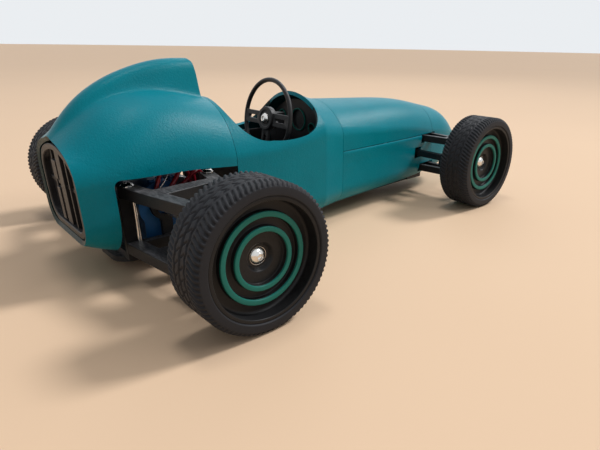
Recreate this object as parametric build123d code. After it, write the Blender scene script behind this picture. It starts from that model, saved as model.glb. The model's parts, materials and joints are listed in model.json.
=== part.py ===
"""Radio-controlled open wheel racing car, about 1:10, printed body on a printed chassis.

Millimetres. +X is forward, +Y is the driver's left, +Z is up.
The origin is on the ground, midway between the tail and the nose tip, on the centre plane.
Stations along the body are measured forward from the rear axle and then shifted to that origin.
"""
from build123d import *
import os
from math import acos, atan2, cos, degrees, radians, sin, sqrt, tan

os.makedirs("parts", exist_ok=True)

# ---------------------------------------------------------------- driving sizes
WHEELBASE = 223.5
TAIL_OVERHANG = 48.0
NOSE_OVERHANG = 55.0
TYRE_DIAMETER = 66.0
TYRE_WIDTH = 23.5
REAR_OUTER_WIDTH = 234.0
FRONT_OUTER_WIDTH = 167.0

BODY_WALL = 2.4
SEAM_GAP = 0.2
FIT = 0.2
RUNNING = 0.05
PIN_GAP = 0.3

AXLE_Z = TYRE_DIAMETER / 2
REAR_X = TAIL_OVERHANG - (TAIL_OVERHANG + WHEELBASE + NOSE_OVERHANG) / 2
FRONT_X = REAR_X + WHEELBASE
# longer than the car is wide or tall, for cutting right through it
REACH = REAR_OUTER_WIDTH
THROUGH = 1.0

# ---------------------------------------------------------------- body sections
COWL_FRONT = 38.0
COCKPIT_MOUTH = 63.0
SCUTTLE_EDGE = COWL_FRONT + COCKPIT_MOUTH
SCUTTLE_LENGTH = 20.0
COCKPIT_FRONT = SCUTTLE_EDGE + SCUTTLE_LENGTH
NOSE_LENGTH = 49.0
NOSE_TIP = WHEELBASE + NOSE_OVERHANG
NOSE_SEAM = NOSE_TIP - NOSE_LENGTH
SIDE_SEAM_Z = 47.3
TAIL_END = -TAIL_OVERHANG

# each section: station forward of the rear axle, half width, underside, lower corner radius,
# top of the upright side, shoulder radius, crown height
COWL_JOINT = (COWL_FRONT, 34.8, 8.5, 14.0, 50.5, 17.0, 84.8)
SCUTTLE_JOINT = (SCUTTLE_EDGE, 35.3, 8.5, 14.0, 60.0, 14.0, 84.5)
BONNET_JOINT = (COCKPIT_FRONT, 31.6, 9.0, 14.0, 57.3, 11.0, 78.6)
COWL_SECTIONS = [
    (TAIL_END - 6.0, 34.4, 18.3, 24.0, 44.0, 20.0, 66.5),
    (TAIL_END + 20.5, 34.6, 13.5, 22.0, 47.0, 20.0, 82.5),
    (COWL_FRONT - 30.0, 35.0, 10.0, 18.0, 50.0, 20.0, 91.0),
    COWL_JOINT,
]
COCKPIT_SECTIONS = [
    COWL_JOINT,
    ((COWL_FRONT + SCUTTLE_EDGE) / 2, 35.5, 8.5, 14.0, 55.0, 15.0, 84.7),
    SCUTTLE_JOINT,
]
SCUTTLE_SECTIONS = [
    SCUTTLE_JOINT,
    ((SCUTTLE_EDGE + COCKPIT_FRONT) / 2, 33.4, 8.7, 14.0, 58.6, 12.5, 81.0),
    BONNET_JOINT,
]
FRONT_SECTIONS = [
    BONNET_JOINT,
    (COCKPIT_FRONT + 42.0, 29.2, 10.4, 13.0, 55.0, 10.0, 76.0),
    (WHEELBASE - 16.5, 26.0, 11.6, 12.0, 51.7, 9.5, 72.8),
    (NOSE_TIP - 40.5, 22.6, 14.0, 11.0, 46.8, 9.2, 65.9),
    (NOSE_TIP - 16.5, 18.4, 19.0, 10.0, 41.8, 8.0, 56.0),
    (NOSE_TIP, 11.5, 26.0, 7.5, 37.5, 5.0, 44.2),
]

# headrest hump: station, half width at its foot, foot height, crown radius, crown height
HUMP_SECTIONS = [
    (TAIL_END + 1.0, 9.0, 62.0, 5.0, 71.8),
    (TAIL_END + 12.0, 10.0, 68.0, 6.0, 81.2),
    (TAIL_END + 28.0, 10.5, 76.0, 6.5, 92.9),
    (COWL_FRONT - 40.0, 10.5, 80.0, 6.5, 100.8),
    (COWL_FRONT - 22.0, 10.5, 80.0, 6.5, 104.8),
    (COWL_FRONT - 2.0, 10.5, 76.0, 6.0, 105.0),
]
# front face of the hump in the side view: distance behind the cowl's front edge, height
HUMP_FACE = [(8.2, 107.0), (5.4, 103.4), (4.6, 97.0), (4.2, 80.0)]

TAIL_SLANT = 5.0
TAIL_TOP_Z = 70.0
TAIL_CENTRE_Z = 43.5
TAIL_CENTRE_X = TAIL_END + (TAIL_TOP_Z - TAIL_CENTRE_Z) * tan(radians(TAIL_SLANT))
TAIL_PLATE = 3.0
TAIL_RECESS = 1.0
# upright slots in the tail panel, both sides: distance from the centre, half height, width
TAIL_SLOTS = [(4.6, 15.0, 3.2), (11.8, 17.5, 5.0), (19.4, 14.5, 5.0), (26.4, 8.0, 3.0)]

# intake grille: distance behind the nose tip, thickness, height of its slots and their middle
GRILLE_RECESS = 6.0
GRILLE_THICK = 2.0
GRILLE_Z = 35.5
GRILLE_SLOT = 10.0
GRILLE_SLOT_WIDTH = 1.7
GRILLE_PITCH = 3.1
GRILLE_STEPS = (-2, -1, 0, 1, 2)

# wheel-well cut-out in the cowl's side
WELL_REAR = -24.3
WELL_TOP_Z = 51.0
WELL_CORNER = 5.0

# ---------------------------------------------------------------- chassis
FLOOR_BOTTOM_Z = 5.0
FLOOR_THICK = 3.0
FLOOR_TOP_Z = FLOOR_BOTTOM_Z + FLOOR_THICK
FLOOR_HALF = 17.0
FLOOR_CORNER = 10.0
FLOOR_REAR = -27.0
FLOOR_FRONT = WHEELBASE + 17.0
FLOOR_SLOT_HALF = 13.0
FLOOR_SLOT_TOP_Z = FLOOR_TOP_Z + 9.0
MOUNT_HOLE_R = 1.6
MOUNT_HOLE_Y = 8.0
MOUNT_HOLES_X = (COWL_FRONT + 8.0, WHEELBASE - 27.0)

FRAME_HALF = 22.0
FRAME_WALL = 3.0
FRAME_REAR = -23.0
FRAME_FRONT = 29.0
FRAME_BASE = 4.0
FRAME_SILL = 2.0
FRAME_LINTEL = 4.0
POST = 6.0

GEAR_CASE_R = 13.0
GEAR_FOOT = (-11.0, 9.0)
GEAR_FOOT_DROP = 6.0
SHAFT_R = 3.0
SHAFT_SEAT = 1.5
SHAFT_BOSS = 3.0
SHAFT_INNER_Y = FRAME_HALF - FRAME_WALL + 2.0

# rear wishbones
REAR_ARM_THICK = 6.0
REAR_UPPER_TOP_Z = 48.0
REAR_LOWER_TOP_Z = 18.0
FRAME_TOP_Z = REAR_UPPER_TOP_Z - REAR_ARM_THICK
REAR_ARM_OUT_Y = 74.0
REAR_ARM_BAR = 8.0
REAR_ARM_WINDOWS = [(26.0, 38.5), (49.0, 64.0)]
UPRIGHT_THICK = 8.0
UPRIGHT_HALF_X = 16.0
DOME_R = 3.2
DOME_H = 1.9
DOME_Y = FRAME_HALF + 3.0
DOME_INSET = 4.0
STAY_R = 1.1
STAY_Y = FRAME_HALF + 1.6
STAY_INSET = 6.4

# ---------------------------------------------------------------- wheels
TREAD_R = TYRE_DIAMETER / 2
SHOULDER_R = TREAD_R - 0.9
SHOULDER_DROP = 2.4
BEAD_R = 27.2
# grooves round the tread: distance from the tyre's outer face, width
TREAD_GROOVES = [(7.2, 1.1), (11.75, 1.4), (16.3, 1.1)]
TREAD_DEPTH = 0.7
RIM_WALL = 1.8
RIM_LIP_RECESS = 0.6
DISC_RECESS = 7.0
DISC_THICK = 3.0
RING_RECESS = 3.9
RING_RADII = [(20.3, 17.9), (14.0, 11.8)]
RING_SEAT = 1.0
HUB_R = 6.4
HUB_OUT_RECESS = 9.0
HEAD_R = 4.0
HEAD_H = 2.2
HEAD_POCKET = 1.2
HEX_FLAT = 2.5
HEX_DEPTH = 1.3
SCREW_R = 1.5
SCREW_LENGTH = 8.0

# ---------------------------------------------------------------- front suspension
KINGPIN_Y = 52.0
KINGPIN_R = 1.5
FRONT_ARM_THICK = 5.0
FRONT_ARM_BAR = 3.6
FRONT_ARM_WINDOW = (18.0, 42.0)
FRONT_UPPER_TOP_Z = SIDE_SEAM_Z - PIN_GAP
FRONT_LOWER_TOP_Z = 23.0
FRONT_FRAME_HALF = 12.6
FRONT_FRAME_LENGTH = 18.0
FRONT_FRAME_WALL = 4.0
FRONT_FRAME_CAP = 5.0
KNUCKLE_R = 5.0
KNUCKLE_GAP = 1.0
STUB_R = 2.5
STUB_COLLAR = 1.5
STEER_ARM = 14.0
TRACK_ROD_HALF = 2.2
TRACK_ROD_Z = 34.0
STEER_ARM_THICK = 3.0
STEER_ARM_HALF = 3.0
TRACK_PIN_R = 1.2
STEER_SLIDE = 1.45
STEER_SLOT_PLAY = 0.25
STEER_EYE_R = 4.4
ARM_SLOT_GAP = 1.0
ROD_SLOT_GAP = 2.0

# ---------------------------------------------------------------- cockpit
TUB_WALL = 1.6
TUB_HALF = 29.0
TUB_FLOOR_Z = 24.0
TUB_RIM_Z = 58.0
TUB_REAR = COWL_FRONT + 6.0
TUB_FRONT = SCUTTLE_EDGE - 1.0
TUB_FOOT = 30.0
TUB_FOOT_HALF = 10.0
DASH_X = SCUTTLE_EDGE + 7.0
DASH_THICK = 3.0
DASH_LOW_Z = 46.0
# gauges: distance from the centre, height, radius
GAUGES = [(-1.0, 66.0, 7.5), (16.6, 67.6, 3.7), (-15.0, 61.8, 3.7)]
GAUGE_RING = 0.9
GAUGE_RAISE = 0.8
GAUGE_DEPTH = 1.2
# cockpit mouth in the side view, from the cowl's edge forward: distance in front of it, height
MOUTH_RIM = [(2.0, 87.0), (9.3, 68.0), (26.0, 61.8), (37.0, 61.1), (48.0, 62.8), (57.6, 68.2),
             (COCKPIT_MOUTH, 79.0)]
WHEEL_X = COWL_FRONT + 45.2
WHEEL_Z = 68.6
WHEEL_TILT = 10.0
WHEEL_R = 23.8
WHEEL_TUBE_R = 1.4
HUB_BOSS_R = 7.5
HUB_BOSS_T = 4.0
# spokes: angle from the driver's left, width at the boss, length and width of its slot
SPOKES = [(0.0, 8.0, 9.0, 2.4), (180.0, 8.0, 9.0, 2.4), (90.0, 7.0, 9.0, 2.4)]
SPOKE_T = 2.0
SPOKE_SLOT_R = 14.6
COLUMN_R = 3.0
COLUMN_LENGTH = 7.0
COLUMN_OVERLAP = 2.5
PEDESTAL = 7.0
PEDESTAL_TOP_Z = 72.0
CAP_R = 3.4
CAP_H = 2.0

# ---------------------------------------------------------------- electrics
# blocks: x from, x to, y from, y to, z from, z to
BATTERY_BOX = (COCKPIT_FRONT + 4.0, WHEELBASE - 35.0, -12.6, 12.6, FLOOR_TOP_Z, 34.0)
CONTROLLER_BOX = (17.0, 28.0, -17.0, 17.0, FLOOR_TOP_Z + FRAME_BASE, 27.0)
LEAD_R = 1.1
LEAD_BEND = 3.6
TERMINAL_H = 1.0
TERMINAL_RIM = 0.8
# motor leads: station of the terminal, y, crest height, station where the lead drops
LEADS = [(-3.0, -15.2, 56.0, 18.6), (2.4, -12.6, 53.4, 22.4), (8.0, -15.6, 51.0, 26.2)]


def at(station):
    """X in the car's frame of a station forward of the rear axle."""
    return station + REAR_X


def save(shape, name):
    """One STEP file for one node."""
    shape.label = name
    export_step(shape, f"parts/{name}.step")


def block(x0, x1, y0, y1, z0, z1):
    """Box between two corners, x as stations."""
    corner = Pos(at(x0), y0, z0)
    return corner * Box(x1 - x0, y1 - y0, z1 - z0, align=(Align.MIN, Align.MIN, Align.MIN))


def across(radius, x, z, y0, y1):
    """Cylinder along Y at station x."""
    turn = Plane(origin=(at(x), y0, z), x_dir=(1, 0, 0), z_dir=(0, 1 if y1 > y0 else -1, 0))
    return turn * Cylinder(radius, abs(y1 - y0), align=(Align.CENTER, Align.CENTER, Align.MIN))


def upright_pin(radius, x, y, z0, z1):
    """Cylinder along Z at station x."""
    return Pos(at(x), y, z0) * Cylinder(radius, z1 - z0, align=(Align.CENTER, Align.CENTER, Align.MIN))


def side_prism(points, half):
    """Closed outline of straight sides in the side view, x as stations, carried across the car."""
    corners = [(at(x), 0, z) for x, z in points]
    face = make_face(Polyline(*corners, close=True))
    return extrude(face, amount=half, dir=(0, 1, 0), both=True)


# ---------------------------------------------------------------- body shells
def arc_in_section(x, cy, cz, radius, start, end):
    """Arc in a cross section; angles in degrees from +Y towards +Z."""
    angles = [radians(a) for a in (start, (start + end) / 2, end)]
    points = [(x, cy + radius * cos(a), cz + radius * sin(a)) for a in angles]
    return ThreePointArc(*points)


def body_section(row, wall):
    """Flat floor, round lower corners, upright sides, and a crown and two shoulders in tangent arcs."""
    station, half, under, corner, side_top, shoulder, crown_z = row
    x = at(station)
    w = half - wall
    b = under + wall
    t = crown_z - wall
    rc = corner - wall
    rs = shoulder - wall
    reach = w - rs
    rise = t - side_top
    crown = (reach ** 2 + rise ** 2 - rs ** 2) / (2 * (rise - rs))
    lean = degrees(atan2(side_top - (t - crown), reach))
    foot = w - rc
    edges = [
        Line((x, -foot, b), (x, foot, b)),
        arc_in_section(x, foot, b + rc, rc, -90, 0),
        Line((x, w, b + rc), (x, w, side_top)),
        arc_in_section(x, reach, side_top, rs, 0, lean),
        arc_in_section(x, 0, t - crown, crown, lean, 180 - lean),
        arc_in_section(x, -reach, side_top, rs, 180 - lean, 180),
        Line((x, -w, side_top), (x, -w, b + rc)),
        arc_in_section(x, -foot, b + rc, rc, 180, 270),
    ]
    return make_face(edges)


def body_loft(rows, wall=0.0):
    """Smooth solid through a table of cross sections, drawn in by a wall."""
    return loft([body_section(row, wall) for row in rows])


def slab(x0, x1, z0=-REACH, z1=REACH):
    """Whole slice of the car between two stations."""
    return block(x0, x1, -REACH, REACH, z0, z1)


def hump_section(row):
    """Tombstone section: straight sides leaning into a round crown."""
    station, foot, foot_z, radius, crown_z = row
    x = at(station)
    centre = crown_z - radius
    rise = centre - foot_z
    touch = degrees(atan2(-rise, foot) + acos(radius / sqrt(foot ** 2 + rise ** 2)))
    tip_y = radius * cos(radians(touch))
    tip_z = centre + radius * sin(radians(touch))
    edges = [
        Line((x, -foot, foot_z), (x, foot, foot_z)),
        Line((x, foot, foot_z), (x, tip_y, tip_z)),
        arc_in_section(x, 0, centre, radius, touch, 180 - touch),
        Line((x, -tip_y, tip_z), (x, -foot, foot_z)),
    ]
    return make_face(edges)


def tail_plane():
    """Plane of the tail's opening, leaning back towards its top."""
    lean = radians(TAIL_SLANT)
    centre = (at(TAIL_CENTRE_X), 0, TAIL_CENTRE_Z)
    return Plane(origin=centre, x_dir=(0, 1, 0), z_dir=(-cos(lean), 0, sin(-lean)))


def tail_cut(recess):
    """Everything behind the slanted tail plane, moved forward by a recess."""
    beyond = Box(REACH, REACH, REACH, align=(Align.CENTER, Align.CENTER, Align.MIN))
    return tail_plane() * Pos(0, 0, -recess) * beyond


def make_rear_cowl():
    """Bulged cowl with the headrest hump, open at the tail, at the cockpit and at the wheel wells."""
    hump = loft([hump_section(row) for row in HUMP_SECTIONS])
    face = [(COWL_FRONT - behind, z) for behind, z in HUMP_FACE]
    ahead = [(COWL_FRONT + THROUGH, face[-1][1]), (COWL_FRONT + THROUGH, face[0][1])]
    shell = body_loft(COWL_SECTIONS) + (hump - side_prism(face + ahead, REACH))
    shell -= body_loft(COWL_SECTIONS, BODY_WALL) - slab(COWL_FRONT - BODY_WALL, COWL_FRONT + THROUGH)
    shell -= slab(COWL_FRONT - SEAM_GAP / 2, COWL_FRONT + THROUGH)
    shell -= tail_cut(0.0)
    well = block(WELL_REAR, COWL_FRONT + THROUGH, -REACH, REACH, -REACH, WELL_TOP_Z)
    rear_top = well.edges().filter_by(Axis.Y).group_by(Axis.X)[0].sort_by(Axis.Z)[-1]
    return shell - fillet(rear_top, WELL_CORNER)


def make_tail_panel():
    """Slotted oval insert set into the tail, leaning with it."""
    plate = body_loft(COWL_SECTIONS, BODY_WALL + FIT) - tail_cut(TAIL_RECESS)
    plate &= tail_cut(TAIL_RECESS + TAIL_PLATE)
    for y, half_height, width in TAIL_SLOTS:
        for side in (1, -1):
            slot = extrude(SlotOverall(2 * half_height, width, rotation=90), amount=REACH, both=True)
            plate -= tail_plane() * Pos(side * y, 0, 0) * slot
    return plate


def cockpit_opening():
    """Side-view outline of the cockpit mouth, carried across the car."""
    rim = [(at(COWL_FRONT + ahead), 0, z) for ahead, z in MOUTH_RIM]
    high_rear = (rim[0][0], 0, REACH)
    high_fore = (rim[-1][0], 0, REACH)
    edges = [Line(high_rear, rim[0]), Line(rim[-1], high_fore), Line(high_fore, high_rear)]
    for start in (0, 2, 4):
        edges.append(ThreePointArc(*rim[start:start + 3]))
    return extrude(make_face(edges), amount=REACH, dir=(0, 1, 0), both=True)


def floor_slot(x0, x1):
    """Opening in a shell's underside, closed by the floor plate."""
    return block(x0, x1, -FLOOR_SLOT_HALF, FLOOR_SLOT_HALF, 0.0, FLOOR_SLOT_TOP_Z)


def make_cockpit_section():
    """Ring of bodywork round the cockpit, rising to the scuttle in front of it."""
    shell = body_loft(COCKPIT_SECTIONS) + body_loft(SCUTTLE_SECTIONS)
    shell -= body_loft(COCKPIT_SECTIONS, BODY_WALL)
    shell -= body_loft(SCUTTLE_SECTIONS, BODY_WALL)
    shell &= slab(COWL_FRONT + SEAM_GAP / 2, COCKPIT_FRONT - SEAM_GAP / 2)
    shell -= cockpit_opening()
    return shell - floor_slot(COWL_FRONT - THROUGH, COCKPIT_FRONT + THROUGH)


def front_shell():
    """Hollow bodywork ahead of the cockpit, before it is split at its seams."""
    return body_loft(FRONT_SECTIONS) - body_loft(FRONT_SECTIONS, BODY_WALL)


def make_bonnet(shell):
    """Upper panel from the scuttle to the nose seam."""
    return shell & slab(COCKPIT_FRONT + SEAM_GAP / 2, NOSE_SEAM - SEAM_GAP / 2, SIDE_SEAM_Z + SEAM_GAP / 2)


def cut_for_suspension(shell):
    """Take the openings for the bulkhead, its arms and the track rod out of a shell."""
    half = FRONT_FRAME_LENGTH / 2 + ARM_SLOT_GAP
    shell -= floor_slot(COCKPIT_FRONT - THROUGH, WHEELBASE + half)
    for top in (FRONT_UPPER_TOP_Z, FRONT_LOWER_TOP_Z):
        low = top - FRONT_ARM_THICK - ARM_SLOT_GAP
        shell -= block(WHEELBASE - half, WHEELBASE + half, -REACH, REACH, low, top + ARM_SLOT_GAP)
    rod_x = WHEELBASE - STEER_ARM
    room = TRACK_ROD_HALF + ROD_SLOT_GAP
    return shell - block(rod_x - room, rod_x + room, -REACH, REACH, TRACK_ROD_Z - room, TRACK_ROD_Z + room)


def make_front_lower_body(shell):
    """Lower tub of the front bodywork, slotted for the suspension and the track rod."""
    seam_z = SIDE_SEAM_Z - SEAM_GAP / 2
    lower = shell & slab(COCKPIT_FRONT + SEAM_GAP / 2, NOSE_SEAM - SEAM_GAP / 2, 0.0, seam_z)
    return cut_for_suspension(lower)


def make_nose_cap(shell):
    """Nose from its seam to the oval intake, slotted where the arms reach past the seam."""
    return cut_for_suspension(shell & slab(NOSE_SEAM + SEAM_GAP / 2, NOSE_TIP + THROUGH))


def make_nose_grille():
    """Upright bars across the intake, set back inside its lip."""
    x0 = NOSE_TIP - GRILLE_RECESS
    plate = body_loft(FRONT_SECTIONS, BODY_WALL + FIT) & slab(x0, x0 + GRILLE_THICK)
    for step in GRILLE_STEPS:
        slot = Plane(origin=(at(x0), step * GRILLE_PITCH, GRILLE_Z), x_dir=(0, 1, 0), z_dir=(1, 0, 0))
        bar_gap = SlotOverall(GRILLE_SLOT, GRILLE_SLOT_WIDTH, rotation=90)
        plate -= slot * extrude(bar_gap, amount=REACH, both=True)
    return plate


# ---------------------------------------------------------------- chassis
def make_floor():
    """Long floor plate with rounded ends and four fixing holes."""
    plate = block(FLOOR_REAR, FLOOR_FRONT, -FLOOR_HALF, FLOOR_HALF, FLOOR_BOTTOM_Z, FLOOR_TOP_Z)
    plate = fillet(plate.edges().filter_by(Axis.Z), FLOOR_CORNER)
    for x in MOUNT_HOLES_X:
        for y in (-MOUNT_HOLE_Y, MOUNT_HOLE_Y):
            plate -= upright_pin(MOUNT_HOLE_R, x, y, 0.0, FLOOR_TOP_Z + THROUGH)
    return plate


def make_rear_frame():
    """Open box between the rear wishbones: base, two windowed sides and a bearing boss in each."""
    outer = FRAME_HALF
    inner = FRAME_HALF - FRAME_WALL
    base_top = FLOOR_TOP_Z + FRAME_BASE
    frame = block(FRAME_REAR, FRAME_FRONT, -outer, outer, FLOOR_TOP_Z, FRAME_TOP_Z)
    frame -= block(FRAME_REAR - THROUGH, FRAME_FRONT + THROUGH, -inner, inner, base_top, REACH)
    frame -= block(FRAME_REAR + POST, FRAME_FRONT - POST, -REACH, REACH, base_top + FRAME_SILL,
                   FRAME_TOP_Z - FRAME_LINTEL)
    boss = across(SHAFT_R + SHAFT_SEAT + SHAFT_BOSS, 0.0, AXLE_Z, -outer, outer)
    boss += block(-SHAFT_R, SHAFT_R, -outer, outer, base_top, AXLE_Z)
    for side in (-1, 1):
        y0, y1 = sorted((side * inner, side * outer))
        frame += boss & block(FRAME_REAR, FRAME_FRONT, y0, y1, FLOOR_TOP_Z, FRAME_TOP_Z)
    return frame - across(SHAFT_R + SHAFT_SEAT, 0.0, AXLE_Z, -REACH, REACH)


def make_gear_case():
    """Round gear case on the axle line with its foot on the frame."""
    half = FRAME_HALF - FRAME_WALL - PIN_GAP
    case = across(GEAR_CASE_R, 0.0, AXLE_Z, -half, half)
    case += block(*GEAR_FOOT, -half, half, FLOOR_TOP_Z + FRAME_BASE, AXLE_Z - GEAR_FOOT_DROP)
    for x, y, crest, reach in LEADS:
        case += upright_pin(LEAD_R + TERMINAL_RIM, x, y, AXLE_Z, AXLE_Z + GEAR_CASE_R + TERMINAL_H)
    return case


def plan_plate(side, corners, top, thick):
    """Flat plate from plan corners, x as stations and y outward from the centre plane."""
    points = [(at(x), side * y, top - thick) for x, y in corners]
    return extrude(make_face(Polyline(*points, close=True)), amount=thick, dir=(0, 0, 1))


def wishbone(side, centre, y_in, y_out, half_in, half_out, bar, windows, top, thick):
    """Flat tapered wishbone; each window gives its inner and outer y."""
    def edge(y):
        return half_in + (half_out - half_in) * (y - y_in) / (y_out - y_in)

    arm = plan_plate(side, [(centre - half_in, y_in), (centre + half_in, y_in),
                            (centre + half_out, y_out), (centre - half_out, y_out)], top, thick)
    for near, far in windows:
        hole = [(centre - edge(near) + bar, near), (centre + edge(near) - bar, near),
                (centre + edge(far) - bar, far), (centre - edge(far) + bar, far)]
        arm -= plan_plate(side, hole, top, thick)
    return arm


def make_rear_arm(side, top, y_in):
    """Rear wishbone, seated on the frame and carrying the upright at its outer end."""
    centre = (FRAME_REAR + FRAME_FRONT) / 2
    half_in = (FRAME_FRONT - FRAME_REAR) / 2
    y_out = REAR_ARM_OUT_Y + UPRIGHT_THICK
    return wishbone(side, centre, y_in, y_out, half_in, UPRIGHT_HALF_X + centre, REAR_ARM_BAR,
                    REAR_ARM_WINDOWS, top, REAR_ARM_THICK)


def make_rear_upright(side):
    """Bearing block between the outer ends of the two wishbones."""
    y0, y1 = sorted((side * REAR_ARM_OUT_Y, side * (REAR_ARM_OUT_Y + UPRIGHT_THICK)))
    lower = REAR_LOWER_TOP_Z
    upper = REAR_UPPER_TOP_Z - REAR_ARM_THICK
    body = block(-UPRIGHT_HALF_X, UPRIGHT_HALF_X, y0, y1, lower, upper)
    return body - across(SHAFT_R + RUNNING, 0.0, AXLE_Z, -REACH, REACH)


def cap_angle(radius, ball):
    """Angle from a ball's axis to the edge of its cap."""
    return atan2(radius, sqrt(ball ** 2 - radius ** 2))


def dome(radius, height, foot, direction=(0, 0, 1)):
    """Low spherical cap standing on a flat foot."""
    ball = (radius ** 2 + height ** 2) / (2 * height)
    midway = cap_angle(radius, ball) / 2
    profile = [
        Line((0, 0), (radius, 0)),
        ThreePointArc((radius, 0), (ball * sin(midway), height - ball + ball * cos(midway)), (0, height)),
        Line((0, height), (0, 0)),
    ]
    face = Plane.XZ * make_face(profile)
    return Plane(origin=foot, z_dir=direction) * revolve(face, Axis.Z)


def make_rear_screws():
    """Dome heads on the upper wishbones and the bright stays between upper and lower ones."""
    pieces = []
    for side in (-1, 1):
        for end, inward in ((FRAME_REAR, 1), (FRAME_FRONT, -1)):
            head = (at(end + inward * DOME_INSET), side * DOME_Y, REAR_UPPER_TOP_Z)
            pieces.append(dome(DOME_R, DOME_H, head))
            pieces.append(upright_pin(STAY_R, end + inward * STAY_INSET, side * STAY_Y,
                                      REAR_LOWER_TOP_Z, REAR_UPPER_TOP_Z - REAR_ARM_THICK))
    return Compound(children=pieces)


# ---------------------------------------------------------------- wheels
def revolve_across(points, station, outer_y, side):
    """Ring turned about an axle from (radius, inset) corners; inset runs inboard from the outer face."""
    corners = [(at(station) + r, side * (outer_y - inset), AXLE_Z) for r, inset in points]
    face = make_face(Polyline(*corners, close=True))
    return revolve(face, Axis((at(station), 0, AXLE_Z), (0, 1, 0)))


def make_tyre(station, outer_y, side):
    """Square-shouldered tyre with the grooves that run round its tread."""
    points = [(BEAD_R, 0.0), (SHOULDER_R, 0.0), (TREAD_R, SHOULDER_DROP)]
    for start, width in TREAD_GROOVES:
        low = TREAD_R - TREAD_DEPTH
        points += [(TREAD_R, start - width / 2), (low, start - width / 2)]
        points += [(low, start + width / 2), (TREAD_R, start + width / 2)]
    points += [(TREAD_R, TYRE_WIDTH - SHOULDER_DROP), (SHOULDER_R, TYRE_WIDTH), (BEAD_R, TYRE_WIDTH)]
    return revolve_across(points, station, outer_y, side)


def make_rim(station, outer_y, side, hub_in, bore):
    """Deep dished rim: barrel, disc with two ring seats, and a hub boss."""
    barrel = BEAD_R - RIM_WALL
    disc_in = DISC_RECESS + DISC_THICK
    lip_in = TYRE_WIDTH - RIM_LIP_RECESS
    rim = revolve_across([(BEAD_R, RIM_LIP_RECESS), (BEAD_R, lip_in), (barrel, lip_in), (barrel, disc_in),
                          (HUB_R, disc_in), (HUB_R, hub_in), (bore, hub_in), (bore, HUB_OUT_RECESS),
                          (HEAD_R + HEAD_POCKET, HUB_OUT_RECESS), (HUB_R, DISC_RECESS),
                          (barrel, DISC_RECESS), (barrel, RIM_LIP_RECESS)], station, outer_y, side)
    seat = RING_RECESS + RING_SEAT
    root = DISC_RECESS + DISC_THICK / 2
    for ring_out, ring_in in RING_RADII:
        rib = [(ring_in, seat), (ring_out, seat), (ring_out, root), (ring_in, root)]
        rim += revolve_across(rib, station, outer_y, side)
    return rim


def make_rings(station, outer_y, side):
    """Two raised coloured rings seated on the rim's ribs."""
    rings = []
    seat = RING_RECESS + RING_SEAT
    for ring_out, ring_in in RING_RADII:
        ring = [(ring_in, RING_RECESS), (ring_out, RING_RECESS), (ring_out, seat), (ring_in, seat)]
        rings.append(revolve_across(ring, station, outer_y, side))
    return Compound(children=rings)


def make_hub_screw(station, outer_y, side, seat):
    """Button head screw with a hexagon socket, pointing inboard."""
    y = side * (outer_y - seat)
    head = dome(HEAD_R, HEAD_H, (at(station), y, AXLE_Z), (0, side, 0))
    socket = Plane(origin=(at(station), y + side * HEAD_H, AXLE_Z), z_dir=(0, side, 0))
    hexagon = RegularPolygon(HEX_FLAT / 2, 6, major_radius=False)
    head -= socket * extrude(hexagon, amount=HEX_DEPTH, both=True)
    return head + across(SCREW_R, station, AXLE_Z, y, y - side * SCREW_LENGTH)


def make_rear_shaft(side, outer_y):
    """Wheel shaft from the gear case to the rim's hub, bored for its screw."""
    tip = outer_y - HUB_OUT_RECESS
    shaft = across(SHAFT_R, 0.0, AXLE_Z, side * (SHAFT_INNER_Y + PIN_GAP), side * tip)
    bore_end = tip - SCREW_LENGTH - THROUGH
    return shaft - across(SCREW_R + RUNNING, 0.0, AXLE_Z, side * bore_end, side * REACH)


# ---------------------------------------------------------------- front suspension
def make_front_frame():
    """Front bulkhead block between the arms, on the floor plate."""
    half = FRONT_FRAME_LENGTH / 2
    body = block(WHEELBASE - half, WHEELBASE + half, -FRONT_FRAME_HALF, FRONT_FRAME_HALF, FLOOR_TOP_Z,
                 FRONT_UPPER_TOP_Z)
    inner = FRONT_FRAME_HALF - FRONT_FRAME_WALL
    return body - block(WHEELBASE - REACH, WHEELBASE + REACH, -inner, inner, FLOOR_TOP_Z + FRONT_FRAME_CAP,
                        FRONT_UPPER_TOP_Z - FRONT_FRAME_CAP)


def make_front_arm(side, top):
    """Front wishbone from the bulkhead to the kingpin."""
    arm = wishbone(side, WHEELBASE, FRONT_FRAME_HALF, KINGPIN_Y, FRONT_FRAME_LENGTH / 2, KNUCKLE_R,
                   FRONT_ARM_BAR, [FRONT_ARM_WINDOW], top, FRONT_ARM_THICK)
    eye = upright_pin(KNUCKLE_R, WHEELBASE, side * KINGPIN_Y, top - FRONT_ARM_THICK, top)
    return arm + eye - upright_pin(KINGPIN_R, WHEELBASE, side * KINGPIN_Y, -REACH, REACH)


def make_kingpin(side):
    """Pin through both arms and the knuckle."""
    low = FRONT_LOWER_TOP_Z - FRONT_ARM_THICK
    return upright_pin(KINGPIN_R, WHEELBASE, side * KINGPIN_Y, low, FRONT_UPPER_TOP_Z)


def steering_arm_top():
    """Height of the steering arms' upper face, just under the track rod."""
    return TRACK_ROD_Z - TRACK_ROD_HALF - PIN_GAP


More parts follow.
